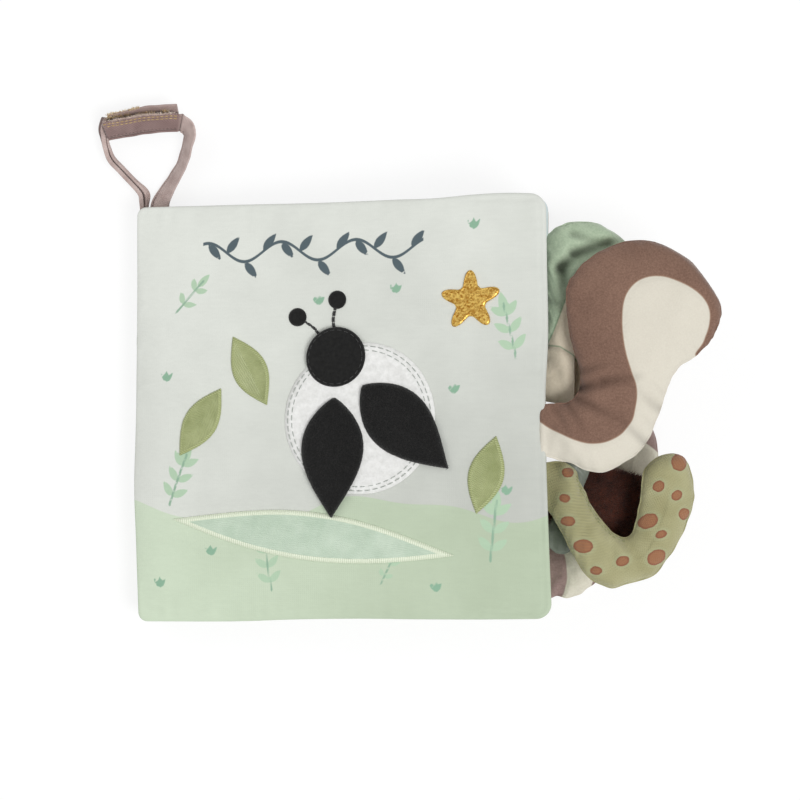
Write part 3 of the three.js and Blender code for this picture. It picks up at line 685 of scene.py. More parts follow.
def printMarks(x, y, design):
    # u and y run from the middle of the panel
    u = x - book["middle"]
    leaf, stem, tuft, garland, vine, ends = (np.full(u.shape, 9.0) for _ in range(6))
    for root, degrees, size, pairs in design["sprigs"]:
        a, b = sprig(u, y, root, degrees, size, pairs)
        leaf, stem = np.minimum(leaf, a), np.minimum(stem, b)
    for spot in design["tufts"]:
        for turn in (58, 90, 124):
            middle = (spot[0] + 2.6 * math.cos(math.radians(turn)),
                      spot[1] + 2.6 * math.sin(math.radians(turn)))
            tuft = np.minimum(tuft, leafMark(u, y, middle, turn, 5.2, 1.7))
    if "garland" in design:
        g = design["garland"]
        ends = np.maximum(g["from"] - u, u - g["to"])
        vine = 0.85 * (y - g["y"] - g["swing"] * np.sin(2 * np.pi * u / g["wave"]))
        for k, at in enumerate(np.arange(g["from"] + 3, g["to"], g["step"])):
            rise = g["y"] + g["swing"] * math.sin(2 * math.pi * at / g["wave"])
            sign = 1 if k % 2 else -1
            garland = np.minimum(garland, leafMark(
                u, y, (at + 2.4, rise + sign * 3.9), sign * 52, *g["leaf"]))
    return {"ground": groundMark(u, y, design["ground"]), "leaf": leaf, "stem": stem,
            "tuft": tuft, "garland": garland, "vine": vine, "vineEnds": ends}


coverCotton = printedCotton("printedCottonCover", ("#e2e5de", "#c2c5be"),
                            ("#d4e2cb", "#b9c7ae"), (
    ("leaf", "#b5cfb3"), ("stem", "#93b39b"), ("tuft", "#8fb59b"), ("garland", "#56646a"),
    ("vineEnds", "#56646a")))
pageCotton = printedCotton("printedCottonPage", ("#e3e0d3", "#ebe8dd"),
                           ("#b9cba8", "#c5d4b4"), (
    ("leaf", "#8fae84"), ("stem", "#6d8f6c"), ("tuft", "#d09a74")))
pageSky = printedCotton("printedCottonSky", ("#c9d6d8", "#d3dfe0"),
                        ("#b3c7a0", "#c0d1ae"), (
    ("leaf", "#7fa39a"), ("stem", "#5f8780"), ("tuft", "#e0bf6e")))
# both sides of a panel are cut from the same cloth, with other prints on each
panelCloths = {"back_cover": pageSky, "leaf_2": pageCotton, "leaf_1": pageSky,
               "front_cover": coverCotton}
for name, panel in panels.items():
    x, y = panelGrid(panel)
    movedX, movedY = strayed(x, y, panel)
    overZ, underZ = panelOver(panel, x, y), panelUnder(panel, x, y)
    border = borderOf(x)
    overZ[border] = underZ[border] = panel["seam"]
    sway = panelSway(panel, movedX, movedY)
    over = toWorld(panel, movedX, movedY, overZ + sway)
    under = toWorld(panel, movedX, movedY, underZ + (sway if panel["fan"] else 0))
    if not panel["fan"]:
        under[..., 2] = np.maximum(under[..., 2], 0.0)
    piece = closedPair("sewn_" + name, over, under,
                       printMarks(x, y, prints[name + "_over"]),
                       underMarks=printMarks(x, y, prints[name + "_under"]))
    cloths = ("outer_cloth", "lining") if "cover" in name else ("upper_cloth", "lower_cloth")
    place(piece, panelCloths[name], name, "cover_cloth" if "cover" in name else "page_cloth",
          [name + "_" + part for part in (*cloths, "batting", "crinkle_film")], 0.55)
print("covers and leaves")


def coverPoint(u, y, above=0.0):
    # a place on the front cover from its middle, in world mm, lifted off the cloth
    panel = panels["front_cover"]
    x = u + book["middle"]
    movedX, movedY = strayed(x, y, panel)
    return toWorld(panel, movedX, movedY,
                   panelOver(panel, x, y) + panelSway(panel, movedX, movedY) + above)


def coverNormal(u, y):
    step = 0.6
    return unit(np.cross(coverPoint(u + step, y) - coverPoint(u - step, y),
                         coverPoint(u, y + step) - coverPoint(u, y - step)))


# Spine folds
spineFold = {"from": -87.0, "to": 87.0, "thick": 0.9, "out": 1.9, "inside": 2.3,
             "lap": (5.0, 0.6, 6), "round": 0.98, "wave": (0.35, 14), "step": 2.5}
folds = (("back_cover", "leaf_2", 3.65, 7.85), ("leaf_2", "leaf_1", 7.85, 12.35),
         ("leaf_1", "front_cover", 12.35, 17.05))
foldCotton = printedCotton("cottonSpineFold", ("#cfd6c9", "#d9dfd3"), ("#c3d0b7", "#ccd8c2"))
for low, high, lowZ, highZ in folds:
    # a half round from one panel's spine edge to the next, with a straight lap on each end
    turn = np.linspace(-math.pi / 2, math.pi / 2, 15)
    bendX = -book["half"] + spineFold["inside"] - spineFold["out"] * np.cos(turn)
    bendZ = (lowZ + highZ) / 2 + (highZ - lowZ) / 2 * spineFold["round"] * np.sin(turn)
    lap = np.linspace(*spineFold["lap"])
    acrossX = np.concatenate([bendX[0] + lap, bendX, bendX[-1] + lap[::-1]])[None]
    acrossZ = np.concatenate([bendZ[0] + 0 * lap, bendZ, bendZ[-1] + 0 * lap])[None]
    long = spineFold["to"] - spineFold["from"]
    along = (edgeSpacing(long, spineFold["step"]) + spineFold["from"])[:, None]
    swing, size = spineFold["wave"]
    wave = swing * softNoise(along, acrossZ, size, int(lowZ * 10))
    grid = np.stack([acrossX + wave + stray(book["leftStray"], along), along + 0 * acrossX,
                     acrossZ + 0 * along], -1)
    clothStrip("spine_fold_" + high, grid, spineFold["thick"], {"ground": grid[..., 1] + 40},
               None, (long, pathLength(grid, 1)[0, -1]), ["sewn_" + low, "sewn_" + high],
               foldCotton, (low, high, (-91, 0, lowZ), (-91, 0, highZ)), "cover_cloth")
print("spine folds")

# Stuffed tails
# Rows run across each tail from its root: left edge and right edge, in mm from the root.
tails = {
    "brown": {
        "root": (86.545, -8.736, 49.6), "middle": 50.4, "half": 6.7, "carrier": "front_cover",
        "seed": 21, "slot": "brown_suede",
        "rows": ((-2.2, 10.4, -2.2, -10.8), (-0.5, 10.7, -0.5, -11.1), (5.9, 11.2, 6.7, -13.7),
                 (11.0, 12.0, 18.3, -17.5), (14.0, 15.4, 26.4, -18.0),
                 (15.3, 21.0, 35.9, -13.2), (14.5, 27.8, 42.7, -7.3), (12.3, 34.3, 47.0, 0.9),
                 (10.6, 42.4, 50.0, 8.6), (9.5, 51.8, 52.8, 17.1), (9.5, 60.4, 56.8, 25.3),
                 (12.7, 66.4, 65.4, 31.5), (22.6, 75.4, 72.2, 39.4), (35.9, 80.5, 75.7, 48.4),
                 (46.1, 80.5, 74.8, 54.8), (53.8, 77.5, 70.5, 62.1), (59.8, 74.1, 65.8, 68.5),
                 (62.4, 72.3, 63.4, 71.4)),
        # inset of the other cloth: from the tip round both sides and back to the root
        "patch": ((65.0, 32.1), (68.4, 38.0), (70.5, 45.3), (70.1, 51.3), (67.5, 56.0),
                  (62.4, 60.2), (56.4, 63.2), (50.5, 65.1), (44.5, 65.1), (39.4, 63.2),
                  (35.5, 59.4), (33.4, 54.7), (32.6, 47.0), (33.0, 39.3), (34.3, 32.1),
                  (36.8, 24.0), (38.5, 19.3), (39.0, 14.1), (38.1, 8.2), (36.8, 3.5),
                  (32.1, -2.1), (26.2, -5.1), (19.3, -5.9), (13.4, -4.6), (7.4, -2.1),
                  (1.4, 0.9), (-3.7, 4.8), (-30, -20), (30, -50), (70, -10)),
        "creases": ((15, 17.5, 27, 20.5, 2.3, 2.5), (24, 20, 40, 22.5, 2.2, 1.7),
                    (14, 13, 30, 5, 2.0, 1.6),
                    (13, 24, 26, 28, 1.8, 1.3), (10, 11, 16, 0, 1.6, 1.2),
                    (43, -6, 30, 6, 2.2, 1.1), (4, 9, 9, 0, 1.6, 0.8), (50, 8, 40, 16, 2.4, 0.9)),
    },
    "green": {
        "root": (88.08, 17.654, 36.4), "middle": 36.4, "half": 5.9, "carrier": "leaf_1",
        "seed": 22, "slot": "green_velour",
        "rows": ((-3.0, 5.0, -3.0, -13.2), (-0.2, 6.5, -0.2, -14.6), (0.2, 9.5, 5.4, -15.4),
                 (0.1, 16.5, 13.0, -14.4), (-0.1, 29.5, 16.0, -4.6), (-0.3, 42.5, 16.4, 10.2),
                 (-0.3, 50.8, 18.6, 24.3), (0.4, 57.4, 25.3, 33.8), (9.3, 63.0, 33.0, 39.6),
                 (21.5, 63.0, 36.6, 44.0), (31.0, 58.0, 37.8, 48.6), (35.4, 54.2, 37.0, 52.0)),
        "hem": ((-6, 10.3), (0.3, 9.8), (6.0, 9.0), (10.7, 6.0), (14.6, 2.5), (30, -30),
                (-6, -30)),
        "patch": ((-4, 2.0), (0.8, 10.4), (2.6, 14.5), (5.4, 22.0), (8.6, 30.2), (13.4, 40.0),
                  (30, 40), (30, -30), (-4, -30)),
        # beyond this line the seam allowance lies low, under the tail above
        "shelf": ((12.4, -20), (12.4, 4), (14.2, 14), (15.2, 24), (60, 24), (60, -20)),
        "shelfDrop": 8.0,
        "creases": ((6.5, 43.5, 9.0, 33, 2.8, 3.0), (6.5, 43.5, 13, 49.0, 2.6, 3.4),
                    (12, 49.0, 27, 53.5, 2.6, 3.0), (27, 53.5, 14, 50.5, 2.4, 2.0),
                    (0, 30, 9, 25, 1.6, 1.0), (12, 58, 26, 52, 2.2, 1.4),
                    (0, 9.6, 12, 6, 1.1, 1.2), (1, 4, 8, -6, 2.2, 0.7)),
    },
    "spotted": {
        "root": (88.278, -31.85, 36.4), "middle": 36.4, "half": 5.9, "carrier": "leaf_1",
        "seed": 23, "slot": "spotted_jersey",
        "rows": ((-3.2, 8.2, -3.2, -11.2), (-0.1, 8.6, 0.2, -12.0), (4.6, 9.0, 2.2, -14.6),
                 (11.0, 6.6, 5.4, -19.6), (15.6, -1.2, 10.9, -30.2), (20.0, -10.6, 17.6, -40.8),
                 (27.0, -19.8, 27.6, -45.9), (33.0, -24.2, 39.8, -43.2),
                 (36.9, -22.4, 47.9, -39.6), (39.5, -14.4, 57.7, -25.3),
                 (41.2, -4.4, 63.8, -10.2), (41.7, 2.2, 64.0, -2.6), (43.4, 6.5, 62.9, 4.7),
                 (47.4, 10.3, 60.9, 9.2), (51.4, 11.9, 58.2, 11.6), (54.2, 12.4, 55.6, 12.4)),
        "spots": ((9.1, 4.1, 2.6, 2.2, 0), (7.7, -6.9, 2.4, 1.9, 0), (9.2, -16.8, 3.2, 2.2, 0),
                  (15.7, -27.6, 4.3, 3.0, 0), (21.3, -38.2, 2.6, 1.9, 0),
                  (32.6, -34.0, 3.0, 2.2, 25), (47.3, -32.4, 4.3, 3.3, 25),
                  (49.3, -22.4, 2.6, 1.7, 20), (43.8, -16.8, 4.5, 3.0, 27),
                  (59.4, -13.8, 2.6, 2.6, 0), (56.0, -5.6, 2.6, 2.2, 30),
                  (48.2, -1.7, 2.7, 2.3, 50), (57.3, 8.5, 3.5, 3.6, 0)),
        "creases": ((27, -21, 29, -38, 2.2, 1.8), (32, -24, 42, -35, 2.0, 1.7),
                    (22, -15, 13, -26, 2.2, 1.2), (38, -20, 53, -25, 2.2, 1.1),
                    (3, 7, 9, -4, 1.8, 1.0), (24, -19, 20, -35, 1.8, 1.0)),
    },
    "slate": {
        "root": (89.857, -52.052, 22.2), "middle": 25.9, "half": 3.2, "carrier": "leaf_2",
        "seed": 24, "slot": "slate_satin", "shares": (23.3, 40.0),
        "rows": ((-0.12, 0.12, -0.12, -0.2), (0.02, 0.13, 0.02, -0.24), (0.1, 0.17, 0.19, -0.3),
                 (0.15, 0.33, 0.43, -0.26), (0.2, 0.54, 0.6, 0.07), (0.28, 0.72, 0.68, 0.43),
                 (0.42, 0.86, 0.8, 0.68), (0.55, 0.91, 0.77, 0.82), (0.64, 0.92, 0.71, 0.88)),
        "creases": ((3, 5, 10, -3, 1.4, 0.7), (6, 14, 13, 8, 1.4, 0.7)),
    },
    "banded": {
        "root": (91.186, -73.346, 3.65), "middle": 5.4, "half": 4.6, "carrier": "back_cover",
        "seed": 25, "slot": "banded_velour", "shares": (49.0, 73.0),
        "rows": ((-0.06, 0.14, -0.06, -0.15), (0.01, 0.15, 0.01, -0.16),
                 (0.07, 0.16, 0.07, -0.16), (0.2, 0.19, 0.24, -0.15), (0.36, 0.28, 0.45, -0.06),
                 (0.44, 0.52, 0.84, 0.23), (0.52, 0.76, 1.0, 0.6), (0.6, 0.88, 1.0, 0.78),
                 (0.7, 0.93, 0.94, 0.9), (0.79, 0.945, 0.85, 0.94)),
        "bands": (11.0, 25.0, 38.0, 51.0, 65.0, 81.5),
        "creases": ((6, 9, 12, -2, 1.5, 0.5), (22, 18, 32, 8, 1.7, 0.5)),
    },
    "dark": {
        "root": (89.658, -43.862, 22.2), "middle": 16.4, "half": 5.1, "carrier": "leaf_2",
        "seed": 26, "slot": "dark_plush", "shares": (48.5, 35.0),
        "rows": ((-0.06, 0.16, -0.06, -0.16), (0.01, 0.19, 0.01, -0.19),
                 (0.08, 0.26, 0.08, -0.26), (0.22, 0.4, 0.22, -0.4), (0.49, 0.46, 0.49, -0.46),
                 (0.76, 0.41, 0.76, -0.43), (0.91, 0.3, 0.91, -0.32), (0.96, 0.1, 0.96, -0.12)),
        "creases": (),
    },
}


# What the six tails share. Lengths are in mm, the rest are shares and powers.
skin = {"wander": 0.3, "wanderSize": 5.5, "rungs": 100, "across": 57, "tipRound": 1.3,
        "neck": (0.2, 15), "narrow": (3.4, 0.7), "seam": 0.6, "lip": (0.34, 0.3),
        "over": (2.2, 0.6), "under": (3.0, 0.56), "pucker": (4.6, 4.5, 0.85, 0.3),
        "lumps": ((19, 30, 0.45), (7, 31, 0.13)), "ease": (3, 6), "groove": (0.75, 1.1),
        "dyeWander": (0.12, 2.2), "bandBow": 2.2, "bandGroove": (0.5, 0.8), "shelfEase": 1.4,
        "deepest": 2.6, "creaseFade": 0.75, "rise": 16, "sway": (0.3, 16)}


def tailEdges(tail):
    # straight rungs between two smooth edges, close together at the tip, with the length of
    # the middle line up to each; hand sewing lets each edge wander a little in and out
    rows = np.asarray(tail["rows"], float) * np.tile(tail.get("shares", (1, 1)), 2)
    edges = smoothPath(rows, 120, even=False)
    apart = unit(edges[:, 2:] - edges[:, :2])
    far = pathLength(edges[:, None, :2], 0)
    for side, start, sign in ((slice(0, 2), 0, -1), (slice(2, 4), 300, 1)):
        edges[:, side] += sign * apart * skin["wander"] * softNoise(
            far + start, 0 * far, skin["wanderSize"], tail["seed"] + 60)
    middle = (edges[:, :2] + edges[:, 2:]) / 2
    run = pathLength(middle[:, None], 0)[:, 0]
    even = np.append(np.linspace(0, 0.96, skin["rungs"]), (0.972, 0.982, 0.99, 0.996, 1))
    edges = np.stack([np.interp(even * run[-1], run, line) for line in edges.T], 1)
    return edges, even * run[-1]


def tailSurfaces(tail):
    # height: an oval over each rung, lower at the sewn root and towards the tip. Puckers run
    # in from both seams; creases are valleys that end in a low ridge on each side.
    seed = tail["seed"]
    edges, run = tailEdges(tail)
    u = np.sin(np.linspace(-math.pi / 2, math.pi / 2, skin["across"]))
    share = (u + 1) / 2
    x = edges[:, None, 0] * (1 - share) + edges[:, None, 2] * share
    y = edges[:, None, 1] * (1 - share) + edges[:, None, 3] * share
    wide = np.hypot(edges[:, 0] - edges[:, 2], edges[:, 1] - edges[:, 3])[:, None]
    u = u[None] + 0 * x
    fromRoot = run[:, None] + 0 * x
    tip = roundRim((run[-1] - fromRoot) / (tail["half"] * skin["tipRound"]))
    neck = skin["neck"][0] + (1 - skin["neck"][0]) * smoothStep((fromRoot - 1) / skin["neck"][1])
    narrow = np.clip(wide / (tail["half"] * skin["narrow"][0]), 0, 1) ** skin["narrow"][1]
    half = tail["half"] * tip * neck * narrow
    # the two cloths lie flat on each other for the width of the seam, then swell
    inward = (1 - np.abs(u)) * wide / 2
    seam = np.minimum(skin["seam"], wide / 6)
    swell = 1 - np.clip((inward - seam) / (wide / 2 - seam), 0, 1)
    lip = skin["lip"][0] * roundRim(inward / skin["lip"][1]) * tip
    over, under = (half * np.clip(1 - swell ** power, 0, 1) ** root + lip
                   for power, root in (skin["over"], skin["under"]))
    # running length along each edge carries the puckers
    seamRun = np.where(u < 0, pathLength(edges[:, None, :2], 0), 300
                       + pathLength(edges[:, None, 2:], 0))
    size, reach, above, below = skin["pucker"]
    pucker = softNoise(seamRun, inward * 0.15, size, seed) * np.exp(-inward / reach)
    pucker = pucker * smoothStep(inward / 0.8) * tip
    lump = sum(high * softNoise(x, y, wave, seed + more) for wave, more, high in skin["lumps"])
    ease = smoothStep(inward / skin["ease"][0]) * smoothStep(fromRoot / skin["ease"][1]) * tip
    over = over + ease * lump + above * pucker
    under = under - 0.3 * ease * lump + below * pucker
    marks = {}
    if "patch" in tail:
        seen = smoothPath(tail["patch"][:-3], 120)
        marks["patch"] = insideDistance(x, y, np.concatenate([seen, tail["patch"][-3:]]))
        groove = skin["groove"][0] * bell(marks["patch"] / skin["groove"][1]) * ease
        over, under = over - groove, under - groove
    if "hem" in tail:
        marks["hem"] = insideDistance(x, y, np.asarray(tail["hem"], float))
    if "spots" in tail:
        near = np.full(x.shape, 9.0)
        for cx, cy, a, b, degrees in tail["spots"]:
            p, q = turned(x, y, (cx, cy), degrees)
            near = np.minimum(near, (np.hypot(p / a, q / b) - 1) * min(a, b))
        far, size = skin["dyeWander"]
        marks["spot"] = near + far * softNoise(x, y, size, seed + 9)
    if "bands" in tail:
        # every second stretch between the listed places along the tail is the paler cloth
        ends = np.asarray(tail["bands"])
        along = fromRoot + skin["bandBow"] * u ** 2
        near = np.abs(along[..., None] - ends).min(-1)
        marks["band"] = np.where(np.searchsorted(ends, along) % 2, -near, near)
        deep, width = skin["bandGroove"]
        over = over - deep * bell(marks["band"] / width) * ease
    if "shelf" in tail:
        past = -insideDistance(x, y, np.asarray(tail["shelf"], float))
        over = over - np.minimum(
            tail["shelfDrop"] * smoothStep(past / skin["shelfEase"] + 0.5),
            0.9 * np.clip(over + under - 0.6, 0, None)) * ease
    # painted shade: each of the creases also marks how much the colour is darkened along it
    marks["hollow"] = 0 * x
    for ax, ay, bx, by, width, depth in tail["creases"]:
        near, share = segmentDistance(x, y, ax, ay, bx, by)
        fade = 1 - skin["creaseFade"] * share
        marks["hollow"] = np.maximum(marks["hollow"], fade * depth / skin["deepest"]
                                     * bell(near / width * 1.2))
        ridge = 0.15 * bell((near - 2.2 * width) / width)
        over = over - depth * fade * (bell(near / width) - ridge) * smoothStep(
            inward / 1.5 + 0.3)
    rootX, rootY, rootZ = tail["root"]
    far, size = skin["sway"]
    centre = rootZ + (tail["middle"] - rootZ) * smoothStep(fromRoot / skin["rise"])
    centre = centre + far * softNoise(seamRun * 0.5, 0 * seamRun, size, seed + 50) * tip
    border = borderOf(x)
    over[border] = under[border] = 0
    high, low = (np.stack([x + rootX, y + rootY, z], -1) for z in (centre + over, centre - under))
    return high, low, marks, np.stack([fromRoot, u * wide / 2], -1) * mm


# The sewn skins are stuffed: each is run as cloth, a little larger than its pattern, with
# pressure inside, so that it puckers between its seams
settle = {"rows": 50, "across": 17, "pressure": 4.0, "slack": 0.05, "frames": 16, "most": 1.5,
          "mass": 0.12, "stiff": 14.0, "bend": 0.3, "steps": 6, "heldRows": 3, "smooth": 3,
          "level": 60, "keepOut": (1.0, 1.0, 0.8)}


def clothMoves(name, high, low, rows, columns):
    # how far each point of a coarse skin moves once it is stuffed, in mm, above and below
    pick = np.ix_(rows, columns)
    skinPiece = closedPair("cloth_run_" + name, high[pick], low[pick])
    lower = np.repeat(np.arange(1, len(rows) - 1), len(columns) - 2)
    rowOf = np.concatenate([np.repeat(np.arange(len(rows)), len(columns)), lower])
    held = skinPiece.vertex_groups.new(name="held")
    held.add(np.flatnonzero(rowOf < settle["heldRows"]).tolist(), 1.0, "REPLACE")
    cloth = skinPiece.modifiers.new("cloth", "CLOTH")
    run = cloth.settings
    run.quality = settle["steps"]
    run.mass = settle["mass"]
    run.tension_stiffness = run.compression_stiffness = settle["stiff"]
    run.shear_stiffness = settle["stiff"] / 2
    run.bending_stiffness = settle["bend"]
    run.use_pressure = True
    run.uniform_pressure_force = settle["pressure"]
    run.shrink_min = -settle["slack"]
    run.vertex_group_mass = "held"
    run.effector_weights.gravity = 0
    cloth.collision_settings.use_collision = False
    cloth.point_cache.frame_start, cloth.point_cache.frame_end = 1, settle["frames"]
    for frameNumber in range(1, settle["frames"] + 1):
        scene.frame_set(frameNumber)
    shaped = skinPiece.evaluated_get(bpy.context.evaluated_depsgraph_get()).data
    before, after = (np.empty(len(rowOf) * 3, np.float32) for side in (0, 1))
    skinPiece.data.vertices.foreach_get("co", before)
    shaped.vertices.foreach_get("co", after)
    scene.frame_set(1)
    bpy.data.objects.remove(skinPiece)
    move = (after - before).reshape(-1, 3).astype(float) / mm
    size = np.linalg.norm(move, axis=1, keepdims=True) + 1e-6
    move = move * settle["most"] * np.tanh(size / settle["most"]) / size
    top = move[:len(rows) * len(columns)].reshape(len(rows), len(columns), 3)
    bottom = top.copy()
    bottom[1:-1, 1:-1] = move[len(rows) * len(columns):].reshape(
        len(rows) - 2, len(columns) - 2, 3)
    return top, bottom


def settleCloth(name, high, low):
    # the moves of the coarse skin, filled in between its points and smoothed. What each side
    # moves over a long stretch is taken off, so the tail keeps its place and outline.
    count, wide = high.shape[:2]
    rows = np.linspace(0, count - 1, settle["rows"]).round().astype(int)
    even = np.linspace(-1, 1, settle["across"])
    columns = ((np.arcsin(even) / math.pi + 0.5) * (wide - 1)).round().astype(int)
    fine = []
    for field in clothMoves(name, high, low, rows, columns):
        along = np.stack([np.interp(np.arange(count), rows, line) for line in
                          field.reshape(len(rows), -1).T], -1).reshape(count, len(columns), 3)
        full = np.stack([np.interp(np.arange(wide), columns, line) for line in
                         along.transpose(0, 2, 1).reshape(-1, len(columns))], 0)
        full = full.reshape(count, 3, wide).transpose(0, 2, 1)
        for turn in range(settle["smooth"]):
            full[1:-1] = (full[:-2] + 2 * full[1:-1] + full[2:]) / 4
            full[:, 1:-1] = (full[:, :-2] + 2 * full[:, 1:-1] + full[:, 2:]) / 4
        drift = full.copy()
        for turn in range(settle["level"]):
            drift[1:-1] = (drift[:-2] + 2 * drift[1:-1] + drift[2:]) / 4
        fine.append(full - drift * settle["keepOut"])
    fine[1][borderOf(fine[1][..., 0])] = fine[0][borderOf(fine[0][..., 0])]
    return fine


def jersey(name):
    # Cotton jersey with printed spots: soft, matt, knit stitches that run slantwise, a paler ring
    # round each spot and a darker rim in it where the dye gathered
    made, spot = startFinish(name, Roughness=0.88, Sheen_Weight=0.3, Sheen_Roughness=0.45,
                             Specular_IOR_Level=0.2)
    cloud = blotches(made, spot, 16, ends=(0.3, 0.7))
    dyed = coats(made, "#9d6f51", (markShare(made, "spot", -0.9, -0.1), "#8a5742"))
    colour = coats(made, "#a09c74", (cloud, "#b1ae87"),
                   (markShare(made, "spot", 1.6, 0.2, 0, 0.22), "#b4bf9c"),
                   (markShare(made, "spot", 0.15, -0.15), dyed))
    slant = addNode(made, "ShaderNodeMapping", {
        "Vector": addNode(made, "ShaderNodeUVMap", uv_map="ClothUV"),
        "Rotation": (0, 0, math.radians(40))})
    return surface(made, colour, (threadRows(made, slant, 1.0), 0.16),
                   (blotches(made, spot, 1.6), 0.12))


def smoothSatin(name, dark, light):
    # Polyester satin: close floats that shine softly over a fine weave
    made, spot = startFinish(name, Roughness=0.42, Sheen_Weight=0.3, Sheen_Roughness=0.3,
                             Anisotropic=0.3)
    return surface(made, coats(made, dark, (blotches(made, spot, 6), light)),
                   (threadRows(made, spot, 0.8), 0.04))


cream = ("#d2c6af", "#e1d6c2", "#7d9c7d")
tailFinish = {
    "brown": napped("brushedSuedeBrown", (("patch", ("#d7d1c3", "#dfdacc", "#95745f")),),
                    ("#6e5448", "#927464"), 0.75, 0.35, 0.18),
    "green": napped("cottonVelourGreen", (("patch", cream), ("hem", cream)),
                    ("#a1b599", "#c3d2b8"), 0.9, 0.4, 0.22),
    "spotted": jersey("cottonJerseySpotted"),
    "slate": smoothSatin("polyesterSatinSlate", "#646b61", "#838a80"),
    "banded": napped("velourBanded", (("band", ("#d3cebc", "#e4e0d1", "#9a857e")),),
                     ("#88736e", "#a68f8a"), 0.9, 0.4, 0.2),
    "dark": napped("plushBackingDark", (), ("#2a1208", "#43200f"), 1.2, 0.1, 0.3),
}
tailSides = {}
for name, tail in tails.items():
    high, low, marks, uv = tailSurfaces(tail)
    moved = settleCloth(name, high, low)
    high, low = high + moved[0], low + moved[1]
    low[..., 2] = np.maximum(low[..., 2], 0.0)
    tailSides[name] = (high, low)
    # the tail keeps its carrier panel and a span from just inside the panel's seam to a little
    # way out; place fixes the piece where it is made
    tail["bend"] = (tail["carrier"], "tail_" + name, (tail["root"][0] - 1.5, 0, 0),
                    (tail["root"][0] + 8, 0, 0))
    place(closedPair("stuffed_tail_" + name, high, low, marks, uv), tailFinish[name],
          tail["bend"], tail["slot"], ("tail_%s_skin" % name, "tail_%s_filling" % name), 0.75)
    print("tail", name)

# two rows of stitching beside the inner edge of the spotted tail's bend
rows = []
for column in (11, 8):
    path = tailSides["spotted"][0][16:56, column]
    out = surfaceNormals(tailSides["spotted"][0])[16:56, column]
    rows.append((path, out * np.where(out[:, 2:] < 0, -1, 1)))
place(stitches("spotted_tail_stitching", rows, {"length": 1.9, "gap": 0.5, "radius": 0.2}),
      plainThread("polyesterThreadOlive", "#7b8154", "#989c6b"), tails["spotted"]["bend"],
      "spotted_jersey")

darkPile = {"count": 26000, "seed": 5, "length": 2.3, "width": 0.16, "lean": (0.45, -0.1, 0)}
point, normal = scatter(tailSides["dark"][0], darkPile["count"], darkPile["seed"])
place(tufts("dark_tail_pile", point, normal, darkPile["length"], darkPile["width"],
            darkPile["lean"], darkPile["seed"] + 1),
      pileTip("plushPileDark", "#301309", "#6a331d", 0.1),
      ("leaf_2", "tail_dark", (88.16, 0, 0), (97.66, 0, 0)), "dark_plush")
print("long pile")

# Cloth shapes sewn on the front cover
beetle = {"middle": (10.92, -3.64), "turn": 112.0, "disc": 33.0, "head": 13.0,
          "feeler": 4.0, "headSink": 4.0, "feelerReach": 19.0, "wing": (52.0, 27.0),
          "spread": 24.0, "rootGap": 2.4, "rootStep": 6.0, "hinge": 1.2, "bulge": 0.8,
          "pile": {"count": 15000, "length": 1.35, "width": 0.13, "lean": 0.35},
          "discRows": (1.6, 3.4), "headRow": 1.3}
patchLift = 0.15


def heading(degrees):
    return np.array([math.cos(math.radians(degrees)), math.sin(math.radians(degrees))])


def onBeetle(forward, sideways):
    return (np.array(beetle["middle"]) + forward * heading(beetle["turn"])
            + sideways * heading(beetle["turn"] - 90))


def discPlan(radius, middle, count, shape=None):
    # a square grid pressed into a circle: each side's points slide in as the other's grow
    line = np.sin(np.linspace(-math.pi / 2, math.pi / 2, count))
    a, b = np.meshgrid(line, line)
    px, py = a * np.sqrt(1 - b * b / 2), b * np.sqrt(1 - a * a / 2)
    grow = radius if shape is None else radius * shape(np.arctan2(py, px))
    return middle[0] + px * grow, middle[1] + py * grow, (1 - np.hypot(px, py)) * grow


def leafPlan(length, width, middle, degrees, bulge=1.0, rows=61, columns=31):
    # rows along the leaf; half width is a sine of the place along it
    share = (1 - np.cos(np.linspace(0, math.pi, rows))) / 2
    across = np.sin(np.linspace(-math.pi / 2, math.pi / 2, columns))
    half = width / 2 * np.sin(np.pi * np.clip(share, 1e-4, 1 - 1e-4) ** bulge) + 0.15
    a = (share[:, None] - 0.5) * length + 0 * across[None]
    b = half[:, None] * across[None]
    c, s = heading(degrees)
    rim = np.minimum(half[:, None] - np.abs(b), length / 2 - np.abs(a))
    return middle[0] + a * c - b * s, middle[1] + a * s + b * c, rim, a, b


def sewnPatch(name, plan, high, base, finish, slot, node, body="front_cover", marks=None,
              ridge=0.0, dome=0.0, soft=0.7, uv=None, puff=0.0):
    # a cloth shape follows the cover: its height grows from the edge, with a raised border
    # and a dome where they are asked for
    u, y, rim = plan
    depth = np.clip(rim, 0, None)
    rise = high * (1 - np.exp(-depth / soft)) + ridge * bell((depth - 1.1) / 0.8)
    rise = rise + dome * smoothStep(depth / max(float(depth.max()), 1)) \
        + puff * softNoise(u, y, 9, 77) * smoothStep(depth / 3)
    over, under = coverPoint(u, y, base + rise), coverPoint(u, y, base + 0 * rise)
    piece = closedPair(name, over, under, {"rim": rim, **(marks or {})}, uv)
    place(piece, finish, body, slot, (node,))
    return over


def glitterFilm(name):
    # Glitter film on felt: thousands of small metal flakes, each turned its own way
    made, spot = startFinish(name, Metallic=0.75, Roughness=0.35)
    flake = addNode(made, "ShaderNodeTexVoronoi", {"Vector": spot, "Scale": 1 / (0.7 * mm)},
                    "Color")
    red, green = (addNode(made, "ShaderNodeSeparateColor", {0: flake}, part)
                  for part in ("Red", "Green"))
    return surface(made, coats(made, "#b57a22", (red, "#ffd977")), (green, 0.35))


